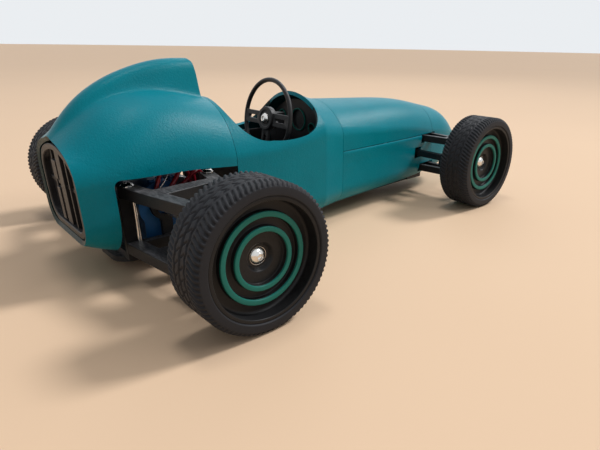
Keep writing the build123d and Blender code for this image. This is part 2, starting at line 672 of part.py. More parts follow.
def make_knuckle(side, outer_y):
    """Knuckle on the kingpin with its stub axle and its slotted steering arm."""
    low = FRONT_LOWER_TOP_Z + PIN_GAP
    high = FRONT_UPPER_TOP_Z - FRONT_ARM_THICK - PIN_GAP
    y = side * KINGPIN_Y
    body = upright_pin(KNUCKLE_R, WHEELBASE, y, low, high)
    body += across(STUB_R, WHEELBASE, AXLE_Z, y, side * (outer_y - HUB_OUT_RECESS - PIN_GAP))
    body += across(STUB_R + STUB_COLLAR, WHEELBASE, AXLE_Z, y, side * (KINGPIN_Y + KNUCKLE_R + KNUCKLE_GAP))
    arm_top = steering_arm_top()
    arm_low = arm_top - STEER_ARM_THICK
    eye_x = WHEELBASE - STEER_ARM
    body += block(eye_x, WHEELBASE, y - STEER_ARM_HALF, y + STEER_ARM_HALF, arm_low, arm_top)
    body += upright_pin(STEER_EYE_R, eye_x, y, arm_low, arm_top)
    slot_r = TRACK_PIN_R + STEER_SLOT_PLAY
    outline = SlotOverall(2 * slot_r + STEER_SLIDE, 2 * slot_r)
    slot = extrude(outline, amount=STEER_ARM_THICK + THROUGH, both=True)
    body -= Pos(at(eye_x) - STEER_SLIDE / 2, y, arm_low) * slot
    bore_end = outer_y - HUB_OUT_RECESS - SCREW_LENGTH - THROUGH
    body -= across(SCREW_R + RUNNING, WHEELBASE, AXLE_Z, side * bore_end, side * REACH)
    return body - upright_pin(KINGPIN_R + RUNNING, WHEELBASE, y, -REACH, REACH)


def make_track_rod():
    """Square rod across the car whose end pins drop into the knuckles' steering arms."""
    x = WHEELBASE - STEER_ARM
    low = TRACK_ROD_Z - TRACK_ROD_HALF
    high = TRACK_ROD_Z + TRACK_ROD_HALF
    rod = block(x - TRACK_ROD_HALF, x + TRACK_ROD_HALF, -KINGPIN_Y, KINGPIN_Y, low, high)
    for side in (-1, 1):
        y = side * KINGPIN_Y
        rod += upright_pin(TRACK_PIN_R, x, y, steering_arm_top() - STEER_ARM_THICK, TRACK_ROD_Z)
        rod += upright_pin(TRACK_ROD_HALF, x, y, low, high)
    return rod


# ---------------------------------------------------------------- cockpit
def make_tub():
    """Open black tub that lines the cockpit, standing on the floor plate."""
    outer = block(TUB_REAR, TUB_FRONT, -TUB_HALF, TUB_HALF, TUB_FLOOR_Z, TUB_RIM_Z)
    inner_half = TUB_HALF - TUB_WALL
    inner_floor = TUB_FLOOR_Z + TUB_WALL
    inner = block(TUB_REAR + TUB_WALL, TUB_FRONT + THROUGH, -inner_half, inner_half, inner_floor, REACH)
    middle = (TUB_REAR + TUB_FRONT) / 2
    foot = block(middle - TUB_FOOT / 2, middle + TUB_FOOT / 2, -TUB_FOOT_HALF, TUB_FOOT_HALF, FLOOR_TOP_Z,
                 TUB_FLOOR_Z)
    return outer - inner + foot


def make_dashboard():
    """Dashboard across the scuttle with three round gauge wells."""
    panel = body_loft(SCUTTLE_SECTIONS, BODY_WALL + FIT) & slab(DASH_X, DASH_X + DASH_THICK, DASH_LOW_Z)
    for y, z, radius in GAUGES:
        panel -= across_x(radius - GAUGE_RING, y, z, DASH_X - THROUGH, DASH_X + GAUGE_DEPTH)
    return panel


def across_x(radius, y, z, x0, x1):
    """Cylinder along X between two stations."""
    return Plane(origin=(at(x0), y, z), z_dir=(1, 0, 0)) * Cylinder(
        radius, x1 - x0, align=(Align.CENTER, Align.CENTER, Align.MIN))


def make_gauge_rings():
    """Thin raised rings round the gauges."""
    rings = []
    for y, z, radius in GAUGES:
        ring = across_x(radius, y, z, DASH_X - GAUGE_RAISE, DASH_X)
        rings.append(ring - across_x(radius - GAUGE_RING, y, z, DASH_X - REACH, DASH_X + REACH))
    return Compound(children=rings)


def wheel_plane(offset=0.0):
    """Plane of the steering wheel, facing the driver, moved towards the driver by an offset."""
    lean = radians(WHEEL_TILT)
    normal = (-cos(lean), 0, sin(lean))
    origin = (at(WHEEL_X) + normal[0] * offset, 0, WHEEL_Z + normal[2] * offset)
    return Plane(origin=origin, x_dir=(0, 1, 0), z_dir=normal)


def make_steering_wheel():
    """Thin rim, boss and three flat spokes, each with one long slot."""
    wheel = Torus(WHEEL_R, WHEEL_TUBE_R) + Cylinder(HUB_BOSS_R, HUB_BOSS_T)
    for angle, width, slot_length, slot_width in SPOKES:
        wheel += Rot(0, 0, angle) * Pos(WHEEL_R / 2, 0, 0) * Box(WHEEL_R, width, SPOKE_T)
    for angle, width, slot_length, slot_width in SPOKES:
        slot = extrude(SlotOverall(slot_length, slot_width), amount=SPOKE_T, both=True)
        wheel -= Rot(0, 0, angle) * Pos(SPOKE_SLOT_R, 0, 0) * slot
    return wheel_plane() * wheel


def make_hub_cap():
    """Dome nut in the middle of the steering wheel."""
    plane = wheel_plane(HUB_BOSS_T / 2)
    return plane * dome(CAP_R, CAP_H, (0, 0, 0))


def make_column():
    """Short shaft behind the wheel's boss, on a pedestal that stands on the tub's floor."""
    shaft = Cylinder(COLUMN_R, COLUMN_LENGTH, align=(Align.CENTER, Align.CENTER, Align.MAX))
    rod = wheel_plane(-HUB_BOSS_T / 2) * shaft
    post_x = WHEEL_X + HUB_BOSS_T / 2 + COLUMN_OVERLAP
    half = PEDESTAL / 2
    return rod + block(post_x, post_x + PEDESTAL, -half, half, TUB_FLOOR_Z + TUB_WALL, PEDESTAL_TOP_Z)


# ---------------------------------------------------------------- electrics
def make_wires():
    """Three motor leads that rise from the gear case's terminals and drop to the speed controller."""
    leads = []
    foot = AXLE_Z + GEAR_CASE_R + TERMINAL_H
    for x, y, crest, reach in LEADS:
        drop = CONTROLLER_BOX[5]
        route = [(at(x), y, foot), (at(x), y, crest), (at(reach), y, crest), (at(reach), y, drop)]
        path = FilletPolyline(*route, radius=LEAD_BEND)
        leads.append(sweep(Plane(origin=path @ 0, z_dir=path % 0) * Circle(LEAD_R), path=path))
    return Compound(children=leads)


def build():
    """Write every node."""
    front = front_shell()
    save(make_rear_cowl(), "rear_cowl")
    save(make_tail_panel(), "tail_panel")
    save(make_cockpit_section(), "cockpit_section")
    save(make_bonnet(front), "bonnet")
    save(make_front_lower_body(front), "front_lower_body")
    save(make_nose_cap(front), "nose_cap")
    save(make_nose_grille(), "nose_grille")
    save(make_floor(), "floor_plate")
    save(make_rear_frame(), "rear_frame")
    save(make_gear_case(), "gear_case")
    save(make_rear_screws(), "rear_arm_screws")
    save(make_front_frame(), "front_frame")
    save(make_track_rod(), "track_rod")
    save(make_tub(), "cockpit_tub")
    save(make_dashboard(), "dashboard")
    save(make_gauge_rings(), "gauge_rings")
    save(make_steering_wheel(), "steering_wheel")
    save(make_hub_cap(), "steering_wheel_cap")
    save(make_column(), "steering_column")
    save(block(*BATTERY_BOX), "battery")
    save(block(*CONTROLLER_BOX), "speed_controller")
    save(make_wires(), "motor_wires")
    for side, hand in ((1, "left"), (-1, "right")):
        rear_y = REAR_OUTER_WIDTH / 2
        front_y = FRONT_OUTER_WIDTH / 2
        save(make_rear_arm(side, REAR_UPPER_TOP_Z, FRAME_HALF - FRAME_WALL), f"rear_upper_arm_{hand}")
        save(make_rear_arm(side, REAR_LOWER_TOP_Z, FRAME_HALF), f"rear_lower_arm_{hand}")
        save(make_rear_upright(side), f"rear_upright_{hand}")
        save(make_rear_shaft(side, rear_y), f"rear_shaft_{hand}")
        save(make_front_arm(side, FRONT_UPPER_TOP_Z), f"front_upper_arm_{hand}")
        save(make_front_arm(side, FRONT_LOWER_TOP_Z), f"front_lower_arm_{hand}")
        save(make_kingpin(side), f"kingpin_{hand}")
        save(make_knuckle(side, front_y), f"front_knuckle_{hand}")
        rear_hub = rear_y - REAR_ARM_OUT_Y - UPRIGHT_THICK - KNUCKLE_GAP
        front_hub = front_y - KINGPIN_Y - KNUCKLE_R - KNUCKLE_GAP - PIN_GAP
        ends = [("rear", 0.0, rear_y, rear_hub, SHAFT_R + RUNNING),
                ("front", WHEELBASE, front_y, front_hub, STUB_R + RUNNING)]
        for end, station, outer_y, hub_in, bore in ends:
            save(make_tyre(station, outer_y, side), f"{end}_tyre_{hand}")
            save(make_rim(station, outer_y, side, hub_in, bore), f"{end}_rim_{hand}")
            save(make_rings(station, outer_y, side), f"{end}_rings_{hand}")
            save(make_hub_screw(station, outer_y, side, HUB_OUT_RECESS), f"{end}_hub_screw_{hand}")


build()
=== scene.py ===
"""Looks of the printed radio-controlled racing car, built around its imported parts.

Metres, in the car's own frame: +X forward, +Y the driver's left, +Z up, ground at z = 0.
Small sizes are written in millimetres times MM.
"""
import json
from contextlib import contextmanager
from math import acos, asin, atan2, cos, pi, radians, sin, tan

import bmesh
import bpy
import numpy as np
from mathutils import Matrix, Vector

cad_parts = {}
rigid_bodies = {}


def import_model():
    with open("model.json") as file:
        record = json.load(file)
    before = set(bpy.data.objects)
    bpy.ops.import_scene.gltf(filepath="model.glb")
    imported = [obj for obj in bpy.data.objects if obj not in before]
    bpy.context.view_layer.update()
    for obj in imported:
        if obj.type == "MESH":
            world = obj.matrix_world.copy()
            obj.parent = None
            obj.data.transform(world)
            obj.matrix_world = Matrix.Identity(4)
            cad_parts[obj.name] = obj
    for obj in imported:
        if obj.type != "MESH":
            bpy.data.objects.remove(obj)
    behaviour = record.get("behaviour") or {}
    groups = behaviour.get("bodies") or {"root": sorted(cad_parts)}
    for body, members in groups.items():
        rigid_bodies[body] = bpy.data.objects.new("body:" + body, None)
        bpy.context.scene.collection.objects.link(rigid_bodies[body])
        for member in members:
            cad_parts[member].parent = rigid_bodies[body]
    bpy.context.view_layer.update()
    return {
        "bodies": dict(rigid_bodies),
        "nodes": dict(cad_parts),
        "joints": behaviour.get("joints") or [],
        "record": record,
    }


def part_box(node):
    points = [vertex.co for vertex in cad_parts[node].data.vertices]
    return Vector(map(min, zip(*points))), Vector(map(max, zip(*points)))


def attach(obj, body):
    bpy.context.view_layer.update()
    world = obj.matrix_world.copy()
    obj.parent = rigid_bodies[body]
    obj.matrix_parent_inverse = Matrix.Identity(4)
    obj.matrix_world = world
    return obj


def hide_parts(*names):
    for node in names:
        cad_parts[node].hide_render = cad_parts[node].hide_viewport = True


MM = 0.001
TURN = 2 * pi

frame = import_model()
NODES = frame["nodes"]
SLOT_OF = {row["node"]: row["material_slot"] for row in frame["record"]["subparts"]}
BODY_OF = {node: body for body, nodes in frame["record"]["behaviour"]["bodies"].items() for node in nodes}


# ---------------------------------------------------------------- shader wiring
class Wire:
    """An output socket; arithmetic on it adds Math nodes to its finish."""

    def __init__(self, finish, socket):
        self.finish = finish
        self.socket = socket

    def math(self, operation, *values, clamp=False):
        settings = {"operation": operation, "use_clamp": clamp}
        return self.finish.node("Math", settings, dict(enumerate(values)))

    def above(self, edge, softness):
        """0 below the edge, 1 above it, with a soft step between."""
        return self.math("DIVIDE", self - (edge - softness / 2), softness, clamp=True)

    def waves(self, pitch):
        """A sine wave from 0 to 1 and back over each pitch."""
        return self.math("SINE", self * (TURN / pitch)) * 0.5 + 0.5

    def size(self):
        return self.math("ABSOLUTE", self)


def overload(word, operation):
    """Gives Wire a Python operator, in its plain and its reflected form."""
    setattr(Wire, f"__{word}__", lambda self, other: self.math(operation, self, other))
    setattr(Wire, f"__r{word}__", lambda self, other: self.math(operation, other, self))


for operator, math_node in (("add", "ADD"), ("sub", "SUBTRACT"), ("mul", "MULTIPLY"), ("pow", "POWER")):
    overload(operator, math_node)


class Finish:
    """One material: its main shader, and one method that adds every other node."""

    def __init__(self, name, **constants):
        self.material = bpy.data.materials.new(name)
        self.material.use_nodes = True
        self.tree = self.material.node_tree
        self.shader = self.tree.nodes["Principled BSDF"]
        for word, value in constants.items():
            self.shader.inputs[word.replace("_", " ")].default_value = value

    def node(self, kind, settings=None, inputs=None, output=0):
        """Adds a node of a type; settings come first, then the values or links of its sockets."""
        node = self.tree.nodes.new("ShaderNode" + kind)
        for key, value in (settings or {}).items():
            setattr(node, key, value)
        for key, value in (inputs or {}).items():
            self.feed(node.inputs[key], value)
        return Wire(self, node.outputs[output])

    def feed(self, socket, value):
        if isinstance(value, Wire):
            self.tree.links.new(value.socket, socket)
        else:
            socket.default_value = value

    def out(self, **sockets):
        """Feeds what varies over the surface to the main shader."""
        for word, value in sockets.items():
            self.feed(self.shader.inputs[word.replace("_", " ")], value)
        return self.material

    def place(self, scale=(1, 1, 1), turn=(0, 0, 0), shift=(0, 0, 0)):
        """Object coordinates, stretched, turned and shifted."""
        spot = self.node("TexCoord", output=3)
        moves = {"Vector": spot, "Scale": scale, "Rotation": turn, "Location": shift}
        return self.node("Mapping", {}, moves)

    def axes(self, vector):
        """A vector's three numbers."""
        split = self.node("SeparateXYZ", {}, {"Vector": vector})
        return [Wire(self, socket) for socket in split.socket.node.outputs]

    def noise(self, vector, size, detail=2.0, roughness=0.5):
        """Soft noise whose blotches are about one size across."""
        values = {"Vector": vector, "Scale": 1 / size, "Detail": detail, "Roughness": roughness}
        return self.node("TexNoise", {}, values)

    def blend(self, share, one, other):
        """Colour one where share is 0, the other where it is 1."""
        colours = [c if isinstance(c, Wire) else (*c, 1.0) for c in (one, other)]
        return self.node("Mix", {"data_type": "RGBA"}, {0: share, 6: colours[0], 7: colours[1]}, output=2)

    def bump(self, height, depth, strength=1.0, under=None):
        """Surface relief: height from 0 to 1 over a depth in metres."""
        inputs = {"Height": height, "Distance": depth, "Strength": strength}
        if under is not None:
            inputs["Normal"] = under
        return self.node("Bump", {}, inputs)

    def facing_in(self, middle):
        """1 on faces that look towards a line along the car at a height, 0 on the others."""
        _, across, up = self.axes(self.node("NewGeometry", output=1))
        _, y, z = self.axes(self.place(shift=(0, 0, -middle)))
        return 1.0 - (across * y + up * z).above(0.0, 0.0005)

    def facing_up(self):
        """1 on level faces, 0 on upright ones."""
        return self.axes(self.node("NewGeometry", output=1))[2].size()


# ---------------------------------------------------------------- finishes
TEAL = (0.0, 0.240, 0.310)
TEAL_DEEP = (0.0, 0.158, 0.208)
RING_TONES = ((0.008, 0.130, 0.108), (0.012, 0.165, 0.135))
RIM_TONES = ((0.008, 0.008, 0.009), (0.018, 0.018, 0.019))
BLACK = (0.011, 0.011, 0.012)


def body_print():
    """Satin teal print: fine sparkling grain, faint layer bands along the car; faces that look inwards are
    painted dark as shade.
    """
    f = Finish("teal_body_print", Specular_IOR_Level=0.12)
    spot = f.place()
    grain = f.noise(spot, 1.0 * MM, detail=3.0, roughness=0.7)
    flow = f.noise(spot, 14 * MM, detail=2.0)
    layers = f.noise(f.place(scale=(1, 0.03, 0.03)), 0.7 * MM, detail=1.0)
    relief = f.bump(grain, 0.22 * MM, strength=0.8)
    relief = f.bump(layers, 0.03 * MM, strength=0.5, under=relief)
    tone = f.blend(grain * 0.5 + flow * 0.5, TEAL_DEEP, TEAL)
    # painted shade: faces that look inwards, into the shell, are darkened to a near-black teal
    tone = f.blend(f.facing_in(46 * MM), tone, (0.0, 0.030, 0.036))
    return f.out(Base_Color=tone, Roughness=0.25 + grain * 0.12, Normal=relief)


def black_print():
    """Black print: raster lines on level faces, layer lines on upright ones; level faces are painted paler,
    in streaks, as a highlight.
    """
    f = Finish("black_chassis_print", Specular_IOR_Level=0.26)
    spot = f.place()
    up = f.facing_up().above(0.7, 0.2)
    x, y, z = f.axes(spot)
    lines = (x + y).waves(0.62 * MM) * up + z.waves(0.4 * MM) * (1.0 - up)
    grain = f.noise(spot, 0.9 * MM, detail=3.0)
    relief = f.bump(lines * 0.6 + grain * 0.4, 0.07 * MM, strength=0.7)
    # painted highlight: level faces are made paler, most of all in streaks; the streaks stand for sheen, not
    # dust
    painted_sheen_streaks = f.noise(f.place(scale=(1, 0.25, 1), turn=(0, 0, 0.8)), 0.9 * MM, detail=4.0).above(0.5, 0.2)
    dark = f.blend(grain, BLACK, (0.022, 0.022, 0.024))
    tone = f.blend(up * (0.2 + painted_sheen_streaks * 0.8), dark, (0.085, 0.085, 0.090))
    return f.out(Base_Color=tone, Roughness=0.30 + grain * 0.2, Normal=relief)


def wheel_print(name, node, dark, light, rough):
    """Printed wheel piece: fine rings turned round the axle."""
    lo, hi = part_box(node)
    centre = (lo + hi) / 2
    f = Finish(name, Specular_IOR_Level=0.2)
    spot = f.place(shift=(-centre.x, 0, -centre.z))
    x, y, z = f.axes(spot)
    radius = (x * x + z * z) ** 0.5
    grain = f.noise(spot, 1.2 * MM, detail=3.0)
    lines = radius.waves(0.45 * MM) * 0.35 + y.waves(0.3 * MM) * 0.3
    relief = f.bump(lines + grain * 0.35, 0.05 * MM, strength=0.6)
    tone = f.blend(grain, dark, light)
    return f.out(Base_Color=tone, Roughness=rough + grain * 0.14, Normal=relief)


def tyre_rubber():
    """Matt flexible black, a little dusty and paler in patches."""
    f = Finish("tyre_rubber", Specular_IOR_Level=0.2)
    spot = f.place()
    patches = f.noise(spot, 9 * MM, detail=4.0)
    grain = f.noise(spot, 0.5 * MM, detail=2.0)
    tone = f.blend(patches * 0.6 + grain * 0.4, (0.010, 0.011, 0.014), (0.024, 0.025, 0.030))
    return f.out(Base_Color=tone, Roughness=0.5 + patches * 0.14, Normal=f.bump(grain, 0.05 * MM, 0.6))


def bright_steel():
    """Plated screw heads with fine handling marks."""
    f = Finish("bright_screw_steel", Metallic=1.0)
    spot = f.place()
    marks = f.noise(f.place(scale=(1, 1, 6), turn=(0.4, 0.3, 0)), 1.1 * MM, detail=4.0)
    tone = f.blend(f.noise(spot, 2.5 * MM), (0.62, 0.59, 0.55), (0.86, 0.85, 0.83))
    return f.out(Base_Color=tone, Roughness=0.14 + marks * 0.16, Normal=f.bump(marks, 0.02 * MM, 0.5))


def streaked_steel(name, size, dark, light, rough):
    """Drawn steel with streaks along it."""
    f = Finish(name, Metallic=1.0)
    streaks = f.noise(f.place(scale=(1, 0.06, 1)), size, detail=3.0)
    tone = f.blend(streaks, dark, light)
    return f.out(Base_Color=tone, Roughness=rough + streaks * 0.2, Normal=f.bump(streaks, 0.02 * MM, 0.4))


def blue_case():
    """Moulded blue case, softly mottled."""
    f = Finish("blue_moulded_case", Coat_Roughness=0.2)
    spot = f.place()
    cloud = f.noise(spot, 4 * MM, detail=3.0)
    grain = f.noise(spot, 0.6 * MM)
    tone = f.blend(cloud, (0.010, 0.090, 0.270), (0.020, 0.140, 0.360))
    return f.out(Base_Color=tone, Roughness=0.26 + grain * 0.18, Normal=f.bump(grain, 0.04 * MM, 0.5))


def battery_wrap():
    """Shrink wrap with slight wrinkles."""
    f = Finish("battery_shrink_wrap")
    wrinkles = f.noise(f.place(scale=(0.3, 1, 1)), 3.5 * MM, detail=4.0)
    tone = f.blend(wrinkles, (0.020, 0.022, 0.030), (0.045, 0.048, 0.060))
    return f.out(Base_Color=tone, Roughness=0.2 + wrinkles * 0.2, Normal=f.bump(wrinkles, 0.3 * MM, 0.6))


def red_lead():
    """Red silicone insulation."""
    f = Finish("red_silicone_lead", Specular_IOR_Level=0.6)
    spot = f.place()
    smudge = f.noise(spot, 5 * MM, detail=3.0)
    tone = f.blend(smudge, (0.230, 0.004, 0.014), (0.420, 0.010, 0.028))
    return f.out(Base_Color=tone, Roughness=0.28 + smudge * 0.16,
                 Normal=f.bump(f.noise(spot, 0.8 * MM), 0.03 * MM, 0.5))


def studio_floor():
    """Pale warm table top."""
    f = Finish("pale_table", Specular_IOR_Level=0.1)
    spot = f.place()
    cloud = f.noise(spot, 0.3, detail=2.0)
    tone = f.blend(cloud, (0.77, 0.550, 0.375), (0.81, 0.590, 0.410))
    return f.out(Base_Color=tone, Roughness=0.5 + cloud * 0.1)


FINISHES = {
    "body_print": body_print(),
    "black_print": black_print(),
    "tyre": tyre_rubber(),
    "screw_steel": bright_steel(),
    "rod_steel": streaked_steel("drawn_rod_steel", 0.5 * MM, (0.42, 0.42, 0.42), (0.68, 0.68, 0.67), 0.22),
    "track_rod_steel": streaked_steel("blued_rod_steel", 0.6 * MM, (0.022, 0.024, 0.030),
                                      (0.050, 0.052, 0.060), 0.32),
    "blue_case": blue_case(),
    "battery_wrap": battery_wrap(),
    "red_lead": red_lead(),
}
for end in ("rear", "front"):
    FINISHES[end + "_rim_print"] = wheel_print(end + "_rim_black", end + "_rim_right", *RIM_TONES, 0.30)
    FINISHES[end + "_ring_print"] = wheel_print(end + "_ring_teal", end + "_rings_right", *RING_TONES, 0.36)
FINISHES["ring_print"] = FINISHES["front_ring_print"]


def finish_for(node):
    """The finish of a node's slot; wheel pieces and the track rod have one of their own."""
    slot = SLOT_OF[node]
    return FINISHES.get(node.split("_")[0] + "_" + slot) or FINISHES[slot]


for node_name, node_object in NODES.items():
    for place in node_object.material_slots:
        place.material = finish_for(node_name)


# ---------------------------------------------------------------- mesh tools
def quilt(points, loop_rows=False, loop_columns=False):
    """Quads over an array of points of shape (rows, columns, 3); either way may close on itself."""
    rows, columns = points.shape[:2]
    index = np.arange(rows * columns).reshape(rows, columns)
    if loop_rows:
        index = np.vstack([index, index[:1]])
    if loop_columns:
        index = np.hstack([index, index[:, :1]])
    corners = [index[:-1, :-1], index[1:, :-1], index[1:, 1:], index[:-1, 1:]]
    return points.reshape(-1, 3), np.stack(corners, -1).reshape(-1, 4)


def joined(parts):
    """Several (points, quads) as one."""
    points, quads = zip(*parts)
    starts = np.cumsum([0] + [len(one) for one in points])
    return np.concatenate(points), np.concatenate([one + start for one, start in zip(quads, starts)])


def linked(name, data):
    """A new object in the scene."""
    made = bpy.data.objects.new(name, data)
    bpy.context.scene.collection.objects.link(made)
    return made


@contextmanager
def editing(mesh, weld):
    """The mesh opened for edits, its doubles merged first; it is written back with smooth faces."""
    work = bmesh.new()
    work.from_mesh(mesh)
    bmesh.ops.remove_doubles(work, verts=work.verts, dist=weld)
    yield work
    for face in work.faces:
        face.smooth = True
    work.to_mesh(mesh)
    work.free()


def riding(mesh, node, crease, stands_in=True):
    """A mesh as a piece of its node's body, smooth but for edges sharper than crease."""
    mesh.set_sharp_from_angle(angle=radians(crease))
    made = linked(mesh.name, mesh)
    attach(made, BODY_OF[node])
    if stands_in:
        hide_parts(node)
    return made


def piece(name, surface, node, crease, finish=None, weld=0.002 * MM, outward=True, stands_in=True):
    """One mesh from (points, quads), welded and turned outwards, that stands in for its node."""
    points, quads = surface
    mesh = bpy.data.meshes.new(name)
    mesh.from_pydata(points.tolist(), [], quads.tolist())
    with editing(mesh, weld) as work:
        bmesh.ops.dissolve_degenerate(work, dist=weld, edges=work.edges)
        if outward:
            bmesh.ops.recalc_face_normals(work, faces=work.faces)
    mesh.materials.append(finish or finish_for(node))
    return riding(mesh, node, crease, stands_in)


def rounded(corners, steps=4, loop=False):
    """A polyline of (a, b, radius) corners with each corner turned into an arc of its radius."""
    flat = np.array([c[:2] for c in corners], float)
    out = []
    last = len(corners) - 1
    for k, (_, _, radius) in enumerate(corners):
        if radius == 0 or (not loop and k in (0, last)):
            out.append(flat[k:k + 1])
            continue
        here = flat[k]
        back = flat[k - 1] - here
        ahead = flat[(k + 1) % len(corners)] - here
        back /= np.linalg.norm(back)
        ahead /= np.linalg.norm(ahead)
        half = acos(np.clip(back @ ahead, -1, 1)) / 2
        middle = (back + ahead) / np.linalg.norm(back + ahead)
        centre = here + middle * radius / sin(half)
        start = here + back * radius / tan(half) - centre
        stop = here + ahead * radius / tan(half) - centre
        share = np.linspace(0, 1, steps + 1)[:, None]
        sweep = pi - 2 * half
        arc = (np.sin((1 - share) * sweep) * start + np.sin(share * sweep) * stop) / sin(sweep)
        out.append(centre + arc)
    return np.concatenate(out)


def wheel_data(node):
    """Axle point on the outer face, the outward side, radius and width of a wheel piece."""
    lo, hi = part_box(node)
    side = 1.0 if node.endswith("left") else -1.0
    outer = hi.y if side > 0 else lo.y
    return Vector(((lo.x + hi.x) / 2, outer, (lo.z + hi.z) / 2)), side, (hi.z - lo.z) / 2, hi.y - lo.y


def round_angles(steps):
    """Even angles of a full turn, as a column."""
    return np.linspace(0, TURN, steps, endpoint=False)[:, None]


def about_axle(radius, inset, angle, hub, side):
    """Points at a radius and an inset from the outer face, for each angle about the axle through hub."""
    spots = hub.x + radius * np.cos(angle), hub.y - side * inset, hub.z + radius * np.sin(angle)
    return np.stack(np.broadcast_arrays(*spots), -1)


def turned(corners, hub, side, steps=160):
    """Closed skin of (radius, inset, rounding) corners swept round the axle through hub."""
    profile = rounded(corners, loop=True)
    return quilt(about_axle(profile[:, 0], profile[:, 1], round_angles(steps), hub, side), True, True)


# ---------------------------------------------------------------- wheels
NOTCHES = 84
NOTCH_SAMPLES = 10
TREAD_DEPTH = 0.7 * MM
TYRE_SHOULDER = 2.6 * MM
TREAD_STEP = 0.36 * MM
WALL_STEP = 3.0 * MM
BEAD_R = 27.2 * MM
BEAD_LIP = 0.5 * MM
BEAD_ROUND = 0.3 * MM
GROOVE_INSET = 7.75 * MM


def pulse(value, width, softness):
    """1 within half a width of zero, falling to 0 over the softness."""
    return np.clip((width / 2 + softness / 2 - np.abs(value)) / softness, 0, 1)


def tread_relief(angle, inset, width, radius):
    """Depth share of the tread: shoulder notches, two wavy grooves, a middle groove and short cuts.

    Lengths run round the tyre as angle times radius, and across it as distance from the middle."""
    along = angle * radius
    pitch = TURN * radius / NOTCHES
    across = inset - width / 2
    half = width / 2
    far = np.abs(across)
    slant = along + np.sign(across) * far * 0.45
    notch = pulse((slant / pitch + 0.25 * np.sign(across)) % 1.0 - 0.5, 0.46, 0.16)
    notch = notch * np.clip((far - (half - 6.2 * MM)) / (0.5 * MM), 0, 1)
    wave = 0.3 * MM * np.sin(along / (2 * pitch) * TURN)
    groove = pulse(far - (half - GROOVE_INSET) + wave, 1.0 * MM, 0.35 * MM)
    centre = pulse(across + 0.2 * MM * np.sin(along / (3 * pitch) * TURN), 1.2 * MM, 0.35 * MM)
    rib = np.clip((far - 0.9 * MM) / (0.3 * MM), 0, 1) * np.clip((half - 8.6 * MM - far) / (0.3 * MM), 0, 1)
    cut = pulse(((along - np.sign(across) * far * 0.9) / (2 * pitch)) % 1.0 - 0.5, 0.2, 0.1) * rib * 0.7
    return np.maximum.reduce([notch, groove, centre, cut])


def make_tyre(node):
    """Tyre: a closed section of flat sidewalls, round shoulders and a slightly crowned tread, swept round
    the axle, with the tread relief taken inwards along the section's normal."""
    hub, side, radius, width = wheel_data(node)
    corners = [(BEAD_R, BEAD_LIP, BEAD_ROUND), (BEAD_R + BEAD_LIP, 0.0, BEAD_ROUND),
               (radius, 0.0, TYRE_SHOULDER)]
    corners += [(r, width - inset, rounding) for r, inset, rounding in reversed(corners)]
    outline = rounded(corners, steps=6, loop=True)
    fine = []
    for start, stop in zip(outline, np.roll(outline, -1, axis=0)):
        tread = min(start[0], stop[0]) > radius - TYRE_SHOULDER
        step = TREAD_STEP if tread else WALL_STEP
        count = max(1, int(np.ceil(np.linalg.norm(stop - start) / step)))
        fine.append(start + (stop - start) * np.arange(count)[:, None] / count)
    section = np.concatenate(fine)
    ahead = np.roll(section, -1, axis=0) - np.roll(section, 1, axis=0)
    normal = np.stack([ahead[:, 1], -ahead[:, 0]], -1)
    normal /= np.linalg.norm(normal, axis=1, keepdims=True)
    angle = round_angles(NOTCHES * NOTCH_SAMPLES)
    depth = tread_relief(angle, section[:, 1], width, radius) * TREAD_DEPTH
    depth = depth * np.clip((section[:, 0] - (radius - TYRE_SHOULDER * 0.75)) / (0.4 * MM), 0, 1)
    sunk = section - depth[..., None] * normal
    skin = quilt(about_axle(sunk[..., 0], sunk[..., 1], angle, hub, side), True, True)
    piece(node + "_tread", skin, node, 50.0)


for end in ("rear", "front"):
    for hand in ("right", "left"):
        make_tyre(f"{end}_tyre_{hand}")


# ---------------------------------------------------------------- body shells
# stations run forward from the rear axle and heights up from the ground, in millimetres
COWL_FRONT = 38.0
SCUTTLE_EDGE = 102.6
COCKPIT_FRONT = 121.0
NOSE_SEAM = 229.5
NOSE_TIP = 278.5
TAIL_END = -43.0
SIDE_SEAM_Z = 47.3
SIDE_SEAM_PROUD = 0.55
SCUTTLE_STEPS = 8
HALF_SEAM = 0.1
BODY_WALL = 2.4
WELL_REAR = -27.8
# height of the well's upper edge: station, height
WELL_TOP = [(WELL_REAR, 54.0), (10.0, 53.3), (COWL_FRONT, 51.2)]
WELL_CORNER = 3.2
SLOT_HALF = 13.0
SLOT_END = 233.5
ARM_SLOT_REAR = 213.5
ARM_SLOTS = ((17.0, 24.0), (41.0, SIDE_SEAM_Z - HALF_SEAM))
ROD_SLOT = (205.3, 213.7, 29.8, 38.2)
# cockpit mouth in the side view: station, height; each odd row is the middle of an arc
MOUTH_RIM = [(40.0, 87.0), (47.3, 68.0), (64.0, 61.8), (75.0, 61.1), (88.8, 62.6), (98.9, 69.3),
             (SCUTTLE_EDGE, 79.0)]

